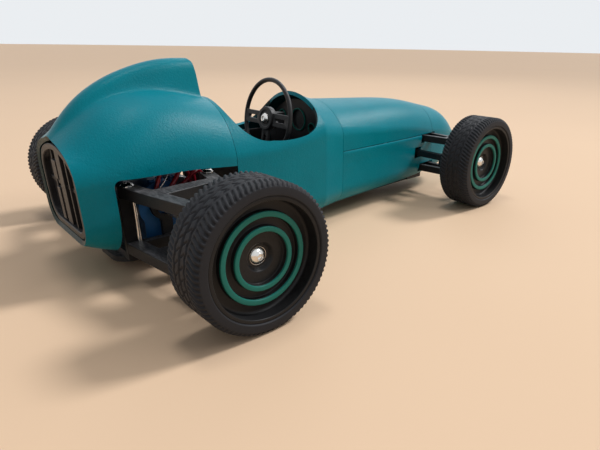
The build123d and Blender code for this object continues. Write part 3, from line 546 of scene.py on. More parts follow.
# sections: station, half width, underside, lower corner radius, top of the upright side,
# shoulder radius, crown height
COWL_ROWS = [(TAIL_END, 30.6, 21.6, 12.0, 51.5, 15.5, 70.2), (-27.5, 34.6, 13.5, 22.0, 52.0, 20.0, 82.5),
             (8.0, 35.0, 10.0, 18.0, 58.0, 20.0, 91.0), (COWL_FRONT, 34.8, 8.5, 14.0, 54.0, 17.0, 84.8)]
COCKPIT_ROWS = [COWL_ROWS[-1], (69.5, 35.5, 8.5, 14.0, 55.0, 15.0, 84.7),
                (SCUTTLE_EDGE, 35.3, 8.5, 14.0, 60.0, 14.0, 84.5)]
SCUTTLE_ROWS = [COCKPIT_ROWS[-1], (111.0, 33.4, 8.7, 14.0, 58.6, 12.5, 81.0),
                (COCKPIT_FRONT, 31.6, 9.0, 14.0, 57.3, 11.0, 78.6)]
FRONT_ROWS = [SCUTTLE_ROWS[-1], (163.0, 29.2, 10.4, 13.0, 55.0, 10.0, 76.7),
              (207.0, 26.0, 11.6, 12.0, 51.7, 9.5, 73.1), (238.0, 22.6, 14.0, 11.0, 47.0, 9.2, 66.9),
              (262.0, 18.4, 19.0, 10.0, 43.2, 8.0, 58.8), (NOSE_TIP, 11.5, 26.0, 7.5, 37.5, 5.0, 45.2)]
# headrest hump: station, half width at its foot, foot height, crown radius, crown height
HUMP_ROWS = [(TAIL_END, 9.0, 60.0, 5.0, 70.4), (-36.0, 10.0, 67.0, 6.0, 79.4), (-20.0, 10.5, 76.0, 6.5, 92.9),
             (-2.0, 10.5, 80.0, 6.5, 100.8), (16.0, 10.5, 80.0, 6.5, 104.8), (36.0, 10.5, 76.0, 6.0, 105.0)]
# front face of the hump in the side view: height, station
HUMP_FACE = [(80.0, 33.8), (97.0, 33.4), (103.4, 32.6), (107.0, 29.8)]
HUMP_FILLET = 2.4
PIVOT_Z = 50.0
SECTION_PIECES = 5.0
HUMP_PIECES = 8.0

REAR_AXLE_X = sum(corner.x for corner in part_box("rear_tyre_right")) / 2


def in_car(points):
    """Points (station, y, z) in millimetres, in the car's frame."""
    return np.array(points) * MM + (REAR_AXLE_X, 0, 0)


def crown_arc(half, side_top, shoulder, crown_z):
    """Across to the shoulder's middle, the crown's radius, and how high up both arcs meet, as an angle."""
    reach = half - shoulder
    rise = crown_z - side_top
    crown = (reach ** 2 + rise ** 2 - shoulder ** 2) / (2 * (rise - shoulder))
    return reach, crown, np.arctan2(side_top - crown_z + crown, reach)


def along(rows, x):
    """Every column of a section table at stations x: the smooth cubic curve through its rows whose
    bend is nothing at both ends (natural cubic spline)."""
    table = np.array(rows)
    knots, values = table[:, 0], table[:, 1:]
    span = np.diff(knots)
    rise = np.diff(values, axis=0) / span[:, None]
    system = np.eye(len(knots))
    right = np.zeros_like(values)
    for k in range(1, len(knots) - 1):
        system[k, k - 1:k + 2] = span[k - 1], 2 * (span[k - 1] + span[k]), span[k]
        right[k] = 6 * (rise[k] - rise[k - 1])
    bend = np.linalg.solve(system, right)
    x = np.asarray(x, float)
    k = np.clip(np.searchsorted(knots, x, side="right") - 1, 0, len(knots) - 2)
    back = (x - knots[k])[..., None]
    ahead = (knots[k + 1] - x)[..., None]
    step = span[k][..., None]
    cubes = (bend[k] * ahead ** 3 + bend[k + 1] * back ** 3) / (6 * step)
    lines = (values[k] / step - bend[k] * step / 6) * ahead
    lines = lines + (values[k + 1] / step - bend[k + 1] * step / 6) * back
    return np.moveaxis(cubes + lines, -1, 0)


def body_outline(rows):
    """Half a cross section as a function of station x and t: t from 0 to 1 along the flat underside,
    to 2 round the lower corner, to 3 up the side, to 4 round the shoulder, to 5 over the crown."""
    def outline(x, t):
        half, under, corner, side_top, shoulder, crown_z = along(rows, x)
        t = np.broadcast_to(t, np.broadcast_shapes(np.shape(x), np.shape(t)))
        reach, crown, lean = crown_arc(half, side_top, shoulder, crown_z)
        foot = half - corner
        turn1 = (np.clip(t - 1, 0, 1) - 1) * pi / 2
        turn3 = np.clip(t - 3, 0, 1) * lean
        turn4 = lean + np.clip(t - 4, 0, 1) * (pi / 2 - lean)
        parts = [t < 1, t < 2, t < 3, t < 4]
        y = np.select(parts, [foot * t, foot + corner * np.cos(turn1), half + 0 * t,
                              reach + shoulder * np.cos(turn3)], crown * np.cos(turn4))
        z = np.select(parts, [under + 0 * t, under + corner + corner * np.sin(turn1),
                              under + corner + (side_top - under - corner) * (t - 2),
                              side_top + shoulder * np.sin(turn3)], crown_z - crown + crown * np.sin(turn4))
        return y, z
    return outline


def ray_to_circle(turn, centre, radius):
    """Distance from the pivot, along a ray leaning by turn from upright, to a circle above the pivot."""
    return centre * np.cos(turn) + np.sqrt(np.maximum(radius ** 2 - (centre * np.sin(turn)) ** 2, 0))


def cowl_outline(x, t, hump):
    """Half a cowl section. Over t = 4 it runs on to the top at 8 as distances from a pivot on the centre
    plane, the smooth greater of the crown's and the hump's: half of a + b + root((a - b)^2 + fillet^2).
    The hump is a straight side up to a round top. Where hump is 0 the section stays on the crown."""
    y, z = body_outline(COWL_ROWS)(x, np.minimum(t, 4.0))
    half, _, _, side_top, shoulder, crown_z = along(COWL_ROWS, x)
    _, crown, lean = crown_arc(half, side_top, shoulder, crown_z)
    widest = np.arctan2(crown * np.cos(lean), crown_z - crown + crown * np.sin(lean) - PIVOT_Z)
    turn = widest * (1 - np.clip((t - 4) / 4, 0, 1)) ** 1.8
    plain = ray_to_circle(turn, crown_z - crown - PIVOT_Z, crown)
    foot, foot_z, round_r, hump_z = along(HUMP_ROWS, np.clip(x, HUMP_ROWS[0][0], HUMP_ROWS[-1][0]))
    centre = hump_z - round_r
    lift = centre - foot_z
    touch = np.arctan2(-lift, foot) + np.arccos(round_r / np.hypot(foot, lift))
    tip_y = round_r * np.cos(touch)
    tip_z = centre + round_r * np.sin(touch)
    lean_in = (foot - tip_y) / (tip_z - foot_z)
    side = (foot + (foot_z - PIVOT_Z) * lean_in) / (np.sin(turn) + np.cos(turn) * lean_in)
    top = ray_to_circle(turn, centre - PIVOT_Z, round_r)
    tall = np.where(np.tan(turn) * (tip_z - PIVOT_Z) < tip_y, top, side)
    merged = (plain + tall + np.sqrt((plain - tall) ** 2 + HUMP_FILLET ** 2)) / 2
    far = np.where(hump, merged, plain)
    return (np.where(t < 4, y, far * np.sin(turn)), np.where(t < 4, z, PIVOT_Z + far * np.cos(turn)))


def t_at_height(outline, x, height):
    """Where each section reaches a height."""
    steps = np.linspace(0, SECTION_PIECES, 401)
    found = []
    for station, wanted in zip(x, np.broadcast_to(height, x.shape)):
        z = outline(np.full_like(steps, station), steps)[1]
        found.append(np.interp(wanted, z, steps))
    return np.array(found)


def t_at_slot(rows, x):
    """Where each section's flat underside meets the edge of the floor's opening."""
    half, _, corner = along(rows, x)[:3]
    return SLOT_HALF / (half - corner)


def through(a, b, c, steps):
    """Points along the arc from a through b to c."""
    a, b, c = (np.array(p, float) for p in (a, b, c))
    lines = 2 * np.array([b - a, c - a])
    centre = np.linalg.solve(lines, [b @ b - a @ a, c @ c - a @ a])
    angles = np.unwrap([atan2(*(p - centre)[::-1]) for p in (a, b, c)])
    turn = np.linspace(angles[0], angles[2], steps)
    return centre + np.linalg.norm(a - centre) * np.stack([np.cos(turn), np.sin(turn)], -1)


def bands(edges, counts):
    """Rows of t between band edges, each edge an array over the stations."""
    parts = [edges[0][:, None]]
    for low, high, count in zip(edges[:-1], edges[1:], counts):
        share = np.linspace(0, 1, count + 1)[1:]
        parts.append(low[:, None] + (high - low)[:, None] * share)
    return np.concatenate(parts, axis=1)


def shell(node, x, y, z, keep):
    """A body panel: both halves of a grid of stations and rows, less the quads that are not kept,
    given its wall inwards and narrow rounded edges."""
    points, quads = quilt(in_car(np.stack([x, y, z], -1)))
    corners = quads[keep.ravel()]
    both = joined([(points * (1, -1, 1), corners), (points, corners[:, ::-1])])
    made = piece(node + "_shell", both, node, 38.0, weld=0.02 * MM, outward=False)
    body = made.modifiers.new("wall", "SOLIDIFY")
    body.thickness = BODY_WALL * MM
    body.offset = -1.0
    body.use_even_offset = False
    round_edges(made, 0.25 * MM)


def panel(node, outline, x, edges, counts, gaps=()):
    """A body panel over stations x, in bands of rows; a gap is the stations and the rows left open."""
    t = bands(edges, counts)
    grid = np.broadcast_to(x[:, None], t.shape)
    keep = np.ones((len(x) - 1, t.shape[1] - 1), bool)
    for gap in gaps:
        keep[np.ix_(*gap)] = False
    shell(node, grid, *outline(grid, t), keep)


def round_edges(made, width, angle=48.0):
    """Narrow rounded edges that catch the light."""
    bevel = made.modifiers.new("edge", "BEVEL")
    bevel.width = width
    bevel.segments = 2
    bevel.limit_method = "ANGLE"
    bevel.angle_limit = radians(angle)
    bevel.harden_normals = True


def plain_cowl(x, t):
    """Half a cowl section without the hump."""
    return cowl_outline(x, t, False)


def make_rear_cowl():
    """Cowl with its hump. Stations start upright at the tail, bend round the wheel well's corner with
    the rows, stand upright over the well, and end on the hump's face and then on the cockpit's seam."""
    tail, bend, well, low_rows, face = 14, 6, 34, 36, 4
    over = tail + bend - 1
    well_x, well_z = np.array(WELL_TOP).T
    heights, stations = np.array(HUMP_FACE).T
    face_x = stations[0]
    half_corner = WELL_CORNER * sin(pi / 4)
    corner = WELL_CORNER * (1 - cos(pi / 4))
    turn = np.linspace(pi / 4, pi / 2, bend)
    rear = np.linspace(0, 1, tail)
    fore = np.linspace(0, 1, well)
    bend_x = WELL_REAR + WELL_CORNER * (1 - np.cos(turn))
    base = np.concatenate([TAIL_END + (WELL_REAR + corner - TAIL_END) * rear, bend_x[1:],
                           bend_x[-1] + (face_x - bend_x[-1]) * fore[1:],
                           [face_x, face_x + 1.5, face_x + 3.0, COWL_FRONT - HALF_SEAM]])
    count = len(base)
    edge_z = np.interp(base, well_x, well_z)
    low_z = WELL_TOP[0][1] - WELL_CORNER
    edge_z[:tail] = low_z + half_corner
    edge_z[tail:over] = low_z + WELL_CORNER * np.sin(turn[1:])
    cuts = [t_at_height(plain_cowl, base, low_z), t_at_height(plain_cowl, base, edge_z)]
    t = bands([np.zeros(count), *cuts, np.full(count, HUMP_PIECES)], [30, low_rows - 30, 76])
    x = np.broadcast_to(base[:, None], t.shape).copy()
    hump = np.broadcast_to(np.arange(count)[:, None] < count - face, t.shape)
    for _ in range(4):
        z = cowl_outline(x, t, hump)[1]
        climb = np.clip(z[tail - 1] - low_z, 0, half_corner)
        fade = np.clip((z[tail - 1] - edge_z[tail - 1]) / 12.0, 0, 1)
        edge_x = WELL_REAR + (WELL_CORNER - np.sqrt(WELL_CORNER ** 2 - climb ** 2)) * (1 - fade)
        x[:tail] = TAIL_END + (edge_x - TAIL_END) * rear[:, None]
        share = (bend_x - bend_x[0]) / (bend_x[-1] - bend_x[0])
        x[tail - 1:over] = edge_x + (bend_x[-1] - edge_x) * share[:, None]
        end_x = np.where(t[-face - 1] > 5, np.interp(z[-face - 1], heights, stations), face_x)
        x[over - 1:-face] = bend_x[-1] + (end_x - bend_x[-1]) * fore[:, None]
    keep = np.ones((count - 1, t.shape[1] - 1), bool)
    keep[tail - 1:, :low_rows] = False
    shell("rear_cowl", x, *cowl_outline(x, t, hump), keep)


def make_cockpit():
    """Ring round the cockpit: its stations follow the rim of the mouth, closed in front by the scuttle."""
    rim = np.concatenate([through(*MOUTH_RIM[k:k + 3], 18)[:-1] for k in (0, 2, 4)] + [[MOUTH_RIM[-1]]])
    mouth_x = np.maximum.accumulate(rim[:, 0])
    moving = np.append(True, np.diff(mouth_x) > 0.05)
    mouth_x, mouth_z = mouth_x[moving], rim[moving, 1]
    ahead = np.linspace(SCUTTLE_EDGE, COCKPIT_FRONT - HALF_SEAM, SCUTTLE_STEPS + 1)[1:]
    ring = body_outline(COCKPIT_ROWS)
    scuttle = body_outline(SCUTTLE_ROWS)

    def outline(x, t):
        both = ring(x[:-SCUTTLE_STEPS], t[:-SCUTTLE_STEPS]), scuttle(x[-SCUTTLE_STEPS:], t[-SCUTTLE_STEPS:])
        return [np.concatenate(pair) for pair in zip(*both)]

    x = np.concatenate([[COWL_FRONT + HALF_SEAM], mouth_x, ahead])
    cut = np.concatenate([[SECTION_PIECES], t_at_height(ring, mouth_x, mouth_z),
                          t_at_height(scuttle, ahead, MOUTH_RIM[-1][1])])
    slot = np.concatenate([t_at_slot(COCKPIT_ROWS, x[:-SCUTTLE_STEPS]), t_at_slot(SCUTTLE_ROWS, ahead)])
    below, above = 46, 16
    mouth = np.arange(len(x) - 1 - SCUTTLE_STEPS), np.arange(below, below + above)
    edges = [slot, cut, np.full(len(x), SECTION_PIECES)]
    panel("cockpit_section", outline, x, edges, [below, above], [mouth])


def spans(breaks, step):
    """Stations through every break, about one step apart."""
    parts = []
    for a, b in zip(breaks[:-1], breaks[1:]):
        parts.append(np.linspace(a, b, max(2, int(round((b - a) / step)) + 1))[:-1])
    return np.concatenate(parts + [[breaks[-1]]])


def make_bonnet(outline):
    """Upper panel from the scuttle to the nose seam, down to the side seam."""
    x = spans([COCKPIT_FRONT + HALF_SEAM, NOSE_SEAM - HALF_SEAM], 3.0)
    seam = t_at_height(outline, x, SIDE_SEAM_Z + HALF_SEAM)
    panel("bonnet", outline, x, [seam, np.full(len(x), SECTION_PIECES)], [34])


def make_front_lower_body(outline):
    """Panel under the bonnet, open for the arms and the track rod. Its upper edge stands a little
    proud of the bonnet, and its last row is drawn in again."""
    breaks = [COCKPIT_FRONT + HALF_SEAM, ROD_SLOT[0], ARM_SLOT_REAR, ROD_SLOT[1], NOSE_SEAM - HALF_SEAM]
    x = spans(breaks, 3.0)
    levels = [*ARM_SLOTS[0], *ROD_SLOT[2:], ARM_SLOTS[1][0], ARM_SLOTS[1][1] - 0.9, ARM_SLOTS[1][1]]
    counts = [8, 5, 4, 5, 3, 4, 1]
    first = np.cumsum([0] + counts)
    edges = [t_at_slot(FRONT_ROWS, x)] + [t_at_height(outline, x, level) for level in levels]
    middle = (x[1:] + x[:-1]) / 2
    arms = middle > ARM_SLOT_REAR, np.r_[first[1]:first[2], first[5]:first[7]]
    rod = (middle > ROD_SLOT[0]) & (middle < ROD_SLOT[1]), np.r_[first[3]:first[4]]

    def proud_outline(grid, t):
        y, z = outline(grid, t)
        share = np.clip((z - SIDE_SEAM_Z + 9.0) / 8.0, 0, 1) * np.clip((grid - x[0]) / 4.0, 0, 1)
        share[:, -1] = 0
        return y + SIDE_SEAM_PROUD * share * np.clip((NOSE_SEAM - grid) / 4.0, 0, 1), z

    panel("front_lower_body", proud_outline, x, edges, counts, [arms, rod])


def make_nose_cap(outline):
    """Nose from its seam to the open tip, slotted behind for the arms and the floor."""
    x = spans([NOSE_SEAM + HALF_SEAM, SLOT_END, NOSE_TIP], 2.0)
    levels = [*ARM_SLOTS[0], ARM_SLOTS[1][0], ARM_SLOTS[1][1] + 0.8]
    counts = [6, 6, 6, 10, 6, 30]
    first = np.cumsum([0] + counts)
    low = np.minimum(t_at_slot(FRONT_ROWS, x), 0.98)
    edges = [np.zeros(len(x)), low]
    for k, level in enumerate(levels):
        edges.append(np.maximum(t_at_height(outline, x, level), low + 0.01 * (k + 1)))
    edges.append(np.full(len(x), SECTION_PIECES))
    slots = (x[1:] + x[:-1]) / 2 < SLOT_END, np.r_[0:first[1], first[2]:first[3], first[4]:first[5]]
    panel("nose_cap", outline, x, edges, counts, [slots])


def prism(corners, low, high):
    """Upright block over four plan corners (station, y), from one height to another, in millimetres."""
    points = np.array([(*corner, z) for z in (low, high) for corner in corners])
    quads = [(3, 2, 1, 0), (4, 5, 6, 7), (0, 1, 5, 4), (1, 2, 6, 5), (2, 3, 7, 6), (3, 0, 4, 7)]
    return in_car(points), np.array(quads)


def tail_loop(inset, station, count=40):
    """Closed loop round the tail's section, drawn in towards its middle by an inset."""
    half, under, _, _, _, crown = COWL_ROWS[0][1:]
    y, z = body_outline(COWL_ROWS)(np.full(count, TAIL_END), np.linspace(0, SECTION_PIECES, count))
    middle = (under + crown) / 2
    y = y * (1 - inset / half)
    z = middle + (z - middle) * (1 - inset * 2 / (crown - under))
    y = np.concatenate([y, -y[-2:0:-1]])
    z = np.concatenate([z, z[-2:0:-1]])
    return in_car(np.stack([np.full_like(y, station), y, z], -1))


# bars of the tail panel: y from, y to, height from, height to, how far they stand out
TAIL_BARS = [(-3.6, 3.6, 26.0, 66.0, 1.9), (5.4, 10.2, 28.0, 45.0, 2.3), (5.4, 12.0, 49.0, 58.5, 2.0),
             (-11.4, -9.8, 27.0, 63.0, 1.7), (-19.4, -17.8, 29.0, 60.0, 1.5), (12.0, 13.6, 27.0, 63.0, 1.2),
             (-24.0, 24.0, 46.0, 48.0, 0.8)]


def make_tail_panel():
    """Dark oval insert in the tail: a frame, a sunk back plate, and upright bars with deep gaps between."""
    front = TAIL_END + 1.0
    back = front + 3.4
    frame = [(2.5, back), (2.5, front + 0.3), (2.8, front), (5.2, front), (5.6, front + 0.4), (5.6, back)]
    parts = [quilt(np.stack([tail_loop(*one) for one in frame]), loop_columns=True)]
    plate = np.stack([tail_loop(inset, back - 0.4) for inset in (5.0, 14.0, 22.0)])
    parts.append(quilt(plate, loop_columns=True))
    for y0, y1, z0, z1, proud in TAIL_BARS:
        corners = [(back, y0), (back - 0.4 - proud, y0), (back - 0.4 - proud, y1), (back, y1)]
        parts.append(prism(corners, z0, z1))
    round_edges(piece("tail_panel_slots", joined(parts), "tail_panel", 35.0), 0.3 * MM, angle=35.0)


# wishbone bars in plan, right hand: four corners as (station, distance from the centre), height from, to
ARM_BARS = [
    ([(-23.0, 22.0), (-15.0, 22.0), (-3.0, 78.0), (-10.5, 78.0)], 42.0, 48.0),
    ([(21.0, 22.0), (29.0, 22.0), (16.5, 78.0), (9.0, 78.0)], 42.0, 48.0),
    ([(-12.4, 38.0), (18.5, 36.0), (17.0, 44.0), (-10.6, 49.0)], 42.4, 48.0),
    ([(-7.6, 64.0), (13.0, 64.0), (9.5, 78.0), (-3.5, 78.0)], 42.4, 48.0),
    ([(-16.0, 22.0), (22.0, 22.0), (22.0, 25.0), (-16.0, 25.0)], 42.0, 43.4),
]


def make_upper_arm(hand, side):
    """Flat printed wishbone: two long bars, two cross bars and a thin low sill by the frame."""
    bars = []
    for corners, low, high in ARM_BARS:
        flipped = [(x, side * y) for x, y in corners]
        bars.append(prism(flipped if side > 0 else flipped[::-1], low, high))
    node = "rear_upper_arm_" + hand
    round_edges(piece(node + "_bars", joined(bars), node, 35.0), 0.45 * MM, angle=35.0)


# ---------------------------------------------------------------- printed chassis pieces
FLOOR_TAPER = REAR_AXLE_X + 125 * MM
FLOOR_TAPER_LENGTH = 60 * MM
FLOOR_TAPER_SHARE = 0.75
# width of each node's rounded edges, in millimetres
SOFT_EDGES = {
    "nose_grille": 0.25, "floor_plate": 0.4, "rear_frame": 0.4, "gear_case": 0.8,
    "front_frame": 0.4, "cockpit_tub": 0.35, "dashboard": 0.3, "steering_column": 0.4, "battery": 2.2,
    "speed_controller": 1.0, "track_rod": 0.35, "kingpin": 0.3, "rear_shaft": 0.4,
    "rear_lower_arm": 0.55, "rear_upright": 0.5, "front_upper_arm": 0.4, "front_lower_arm": 0.4,
    "front_knuckle": 0.35,
}


def softened(node, width):
    """The node's own shape with its sharp edges rounded: merged, its flat faces joined, then bevelled.
    The floor plate's front end is drawn in as well, under the narrowing body."""
    mesh = NODES[node].data.copy()
    mesh.name = node + "_print"
    with editing(mesh, 0.002 * MM) as work:
        bmesh.ops.dissolve_limit(work, angle_limit=radians(0.5), verts=work.verts, edges=work.edges)
    if node == "floor_plate":
        for vertex in mesh.vertices:
            share = min(max((vertex.co.x - FLOOR_TAPER) / FLOOR_TAPER_LENGTH, 0), 1)
            vertex.co.y *= 1 - FLOOR_TAPER_SHARE * share
    if "custom_normal" in mesh.attributes:
        mesh.attributes.remove(mesh.attributes["custom_normal"])
    round_edges(riding(mesh, node, 35.0), width * MM, angle=35.0)


# ---------------------------------------------------------------- rims, rings and screws
HUB_RECESS = 9.0 * MM
RIM_BARREL = 25.4 * MM
RIM_DISC = (7.0 * MM, 10.0 * MM)
RIM_HUB_R = 6.4 * MM
RIM_BORES = {"rear": 3.05 * MM, "front": 2.55 * MM}
HEAD_R = 4.0 * MM
HEAD_H = 2.2 * MM
HEAD_ROOM = 1.2 * MM
RIB_TOP = 4.9 * MM
RINGS = ((20.3 * MM, 17.9 * MM), (14.0 * MM, 11.8 * MM))
RING_TOP = 3.9 * MM
SOCKET_FLAT = 2.5 * MM
SOCKET_DEPTH = 1.3 * MM
SCREW_R = 1.5 * MM
SHANK = 8.0 * MM


def make_rim(end, hand):
    """Rim turned from a profile of (radius, inset): barrel, dished disc, hub boss with its screw recess."""
    node = f"{end}_rim_{hand}"
    hub, side, _, width = wheel_data(f"{end}_tyre_{hand}")
    lo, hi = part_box(node)
    lip = (hub.y - hi.y) if side > 0 else (lo.y - hub.y)
    back = lip + hi.y - lo.y
    bore = RIM_BORES[end]
    r = 0.35 * MM
    corners = [(BEAD_R, lip, r), (BEAD_R, width - lip, r), (RIM_BARREL, width - lip, r),
               (RIM_BARREL, RIM_DISC[1], 1.2 * MM), (RIM_HUB_R, RIM_DISC[1], r), (RIM_HUB_R, back, r),
               (bore, back, r), (bore, HUB_RECESS, 0.2 * MM),
               (HEAD_R + HEAD_ROOM, HUB_RECESS, 0.5 * MM), (RIM_HUB_R, RIM_DISC[0], 0.8 * MM)]
    for outer, inner in reversed(RINGS):
        corners += [(inner, RIM_DISC[0], 0.5 * MM), (inner, RIB_TOP, 0.2 * MM), (outer, RIB_TOP, 0.2 * MM),
                    (outer, RIM_DISC[0], 0.5 * MM)]
    corners += [(RIM_BARREL, RIM_DISC[0], 1.6 * MM), (RIM_BARREL, lip, r)]
    piece(node + "_dish", turned(corners, hub, side), node, 30.0)


def make_rings(end, hand):
    """Two raised rings: flat tops with well rounded edges."""
    node = f"{end}_rings_{hand}"
    hub, side = wheel_data(f"{end}_tyre_{hand}")[:2]
    loops = []
    for outer, inner in RINGS:
        corners = [(inner, RIB_TOP, 0.1 * MM), (inner, RING_TOP, 0.4 * MM), (outer, RING_TOP, 0.4 * MM),
                   (outer, RIB_TOP, 0.1 * MM)]
        loops.append(turned(corners, hub, side))
    piece(node + "_round", joined(loops), node, 30.0)


def make_hub_screw(end, hand):
    """Button head: a dome turned round the axle that falls into a six-sided socket.

    Rows marked six follow a hexagon: radius divided by the cosine of the angle from the nearest flat."""
    node = f"{end}_hub_screw_{hand}"
    hub, side = wheel_data(f"{end}_tyre_{hand}")[:2]
    flat = SOCKET_FLAT / 2
    ball = (HEAD_R ** 2 + HEAD_H ** 2) / (2 * HEAD_H)
    rim_turn = np.linspace(asin(1.9 * MM / ball), asin(HEAD_R / ball) * 0.97, 9)
    rows = [(0.0, SOCKET_DEPTH + 0.3 * MM, 1), (flat * 0.9, SOCKET_DEPTH, 1),
            (flat, SOCKET_DEPTH - 0.1 * MM, 1), (flat, 0.3 * MM, 1), (flat * 1.03, 0.14 * MM, 1),
            (flat * 1.12, 0.1 * MM, 1)]
    rows += [(ball * sin(a), ball * (1 - cos(a)) + 0.02 * MM, 0) for a in rim_turn]
    rows += [(HEAD_R, HEAD_H - 0.12 * MM, 0), (HEAD_R - 0.1 * MM, HEAD_H, 0), (SCREW_R, HEAD_H, 0),
             (SCREW_R, HEAD_H + SHANK, 0), (0.0, HEAD_H + SHANK, 0)]
    rows = np.array(rows)
    angle = round_angles(96)
    nearest = (angle + pi / 6) % (pi / 3) - pi / 6
    radius = rows[:, 0] * np.where(rows[:, 2] > 0, 1 / np.cos(nearest), 1)
    grid = about_axle(radius, HUB_RECESS - HEAD_H + rows[:, 1], angle, hub, side)
    piece(node + "_button", quilt(grid, True), node, 32.0)


# ---------------------------------------------------------------- cockpit
WHEEL_SPOT = (83.2, 0, 68.6)
WHEEL_TILT = 10.0
WHEEL_R = 23.8
WHEEL_TUBE_R = 1.4
BOSS_R = 7.5
BOSS_T = 4.0
BOSS_DISH = 0.5
SPOKE_T = 2.0
# spokes: angle from the driver's left, width, slot length, slot width
SPOKES = [(0.0, 8.0, 9.0, 2.4), (180.0, 8.0, 9.0, 2.4), (90.0, 7.0, 9.0, 2.4)]
SPOKE_SLOT = (14.6, 0)
CAP_R = 3.4
CAP_H = 2.0


def on_wheel(points):
    """Points of the steering wheel's own plane (left, down, towards the driver) in the car's frame."""
    lean = radians(WHEEL_TILT)
    towards = np.array([-cos(lean), 0, sin(lean)])
    left = np.array([0, 1.0, 0])
    down = np.cross(towards, left)
    return in_car(WHEEL_SPOT) + points[..., :1] * left + points[..., 1:2] * down + points[..., 2:] * towards


def spun(profile, steps=96, around=(0.0, 0.0)):
    """Closed profile of (radius, height) turned about the third axis through a point."""
    angle = round_angles(steps)
    radius, height = profile.T
    spots = around[0] + radius * np.cos(angle), around[1] + radius * np.sin(angle), height
    return np.stack(np.broadcast_arrays(*spots), -1)


def slot_line(length, width, angle):
    """Closed outline of a slot with round ends: circle points moved out by half the straight length."""
    x = width / 2 * np.cos(angle) + np.sign(np.cos(angle)) * (length - width) / 2
    return np.stack([x, width / 2 * np.sin(angle)], -1)


def make_steering_wheel():
    """Round rim, boss, and spokes: each is a band between an outer outline and its slot's outline."""
    tube = np.linspace(0, TURN, 20, endpoint=False)
    rim = np.stack([WHEEL_R + WHEEL_TUBE_R * np.cos(tube), WHEEL_TUBE_R * np.sin(tube)], -1) * MM
    top = BOSS_T / 2
    boss = rounded([(0, -top, 0), (BOSS_R, -top, 0.4), (BOSS_R, top, 0.7), (5.4, top, 0.2),
                    (5.0, top - BOSS_DISH, 0.2), (0, top - BOSS_DISH, 0)]) * MM
    parts = [quilt(on_wheel(spun(rim, 160)), True, True), quilt(on_wheel(spun(boss)), True)]
    length = WHEEL_R - BOSS_R + 2.0
    middle = BOSS_R - 1.0 + length / 2, 0
    half = SPOKE_T / 2
    angle = np.linspace(0, TURN, 64, endpoint=False) + pi / 2
    corner = np.stack([np.cos(angle), np.sin(angle)], -1)
    square = corner / np.abs(corner).max(axis=1, keepdims=True)
    for degrees, width, slot_length, slot_width in SPOKES:
        outer = square * (length / 2, width / 2) + middle
        inner = slot_line(slot_length, slot_width, angle) + SPOKE_SLOT
        flat_outer = (outer - middle) * 0.96 + middle
        flat_inner = inner + (inner - SPOKE_SLOT) * 0.1
        loops = [(outer, 0.3 - half), (outer, half - 0.3), (flat_outer, half), (flat_inner, half),
                 (inner, half - 0.25), (inner, 0.25 - half), (flat_inner, -half), (flat_outer, -half)]
        grid = np.stack([np.column_stack([line, np.full(64, height)]) for line, height in loops], 1)
        cosine, sine = cos(radians(degrees)), sin(radians(degrees))
        spin = np.array([[cosine, sine, 0], [-sine, cosine, 0], [0, 0, 1]])
        parts.append(quilt(on_wheel(grid @ spin * MM), True, True))
    piece("steering_wheel_rim", joined(parts), "steering_wheel", 35.0)


def button(radius, height, recess):
    """Profile of a low round head with a shallow recess in its top."""
    return rounded([(0, height - recess, 0), (radius * 0.36, height - recess, 0.1),
                    (radius * 0.42, height, 0.15), (radius * 0.62, height * 0.93, 0.5),
                    (radius, height * 0.35, 0.3), (radius, 0, 0.1), (0, 0, 0)])


def make_wheel_cap():
    """Bright screw in the middle of the steering wheel."""
    grid = spun(button(CAP_R, CAP_H, 0.7) * MM, 64)
    grid[..., 2] += BOSS_T / 2 * MM - BOSS_DISH * MM
    grid[..., 2] = np.minimum(grid[..., 2], (BOSS_T / 2 + CAP_H) * MM)
    piece("steering_wheel_screw", quilt(on_wheel(grid), True), "steering_wheel_cap", 32.0)


DASH_X = 108.0
# gauges: distance from the centre, height, radius
GAUGES = [(-1.0, 66.0, 7.5), (16.6, 67.6, 3.7), (-15.0, 61.8, 3.7)]
GAUGE_RING = 0.9
GAUGE_RAISE = 0.8


def on_dash(points):
    """Points (across, up, towards the driver) on the dashboard's face."""
    x = DASH_X * MM + REAR_AXLE_X - points[..., 2]
    return np.stack([x, points[..., 0], points[..., 1]], -1)


def make_gauge_rings():
    """Raised rings: a low round profile turned about each gauge's middle."""
    rings = []
    for y, z, radius in GAUGES:
        profile = rounded([(radius - GAUGE_RING, 0, 0.05), (radius - GAUGE_RING, GAUGE_RAISE, 0.3),
                           (radius, GAUGE_RAISE, 0.3), (radius, 0, 0.05)], loop=True) * MM
        rings.append(quilt(on_dash(spun(profile, 96, (y * MM, z * MM))), True, True))
    piece("gauge_bezels", joined(rings), "gauge_rings", 35.0)


def tube(route, radius, sides=20):
    """Round tube along a line of points: circles square to the line's run, carried on without twist."""
    route = np.array(route, float)
    run = np.gradient(route, axis=0)
    run /= np.linalg.norm(run, axis=1, keepdims=True)
    side = np.cross(run[0], (0.31, 0.93, 0.17))
    frames = []
    for direction in run:
        side = side - direction * (side @ direction)
        side = side / np.linalg.norm(side)
        frames.append((side, np.cross(direction, side)))
    frames = np.array(frames)
    turn = round_angles(sides)
    ring = frames[:, 0, None] * np.cos(turn) + frames[:, 1, None] * np.sin(turn)
    grid = route[:, None] + ring * radius
    first = np.repeat(route[:1, None], sides, 1)
    last = np.repeat(route[-1:, None], sides, 1)
    return quilt(np.concatenate([first, grid, last]), loop_columns=True)


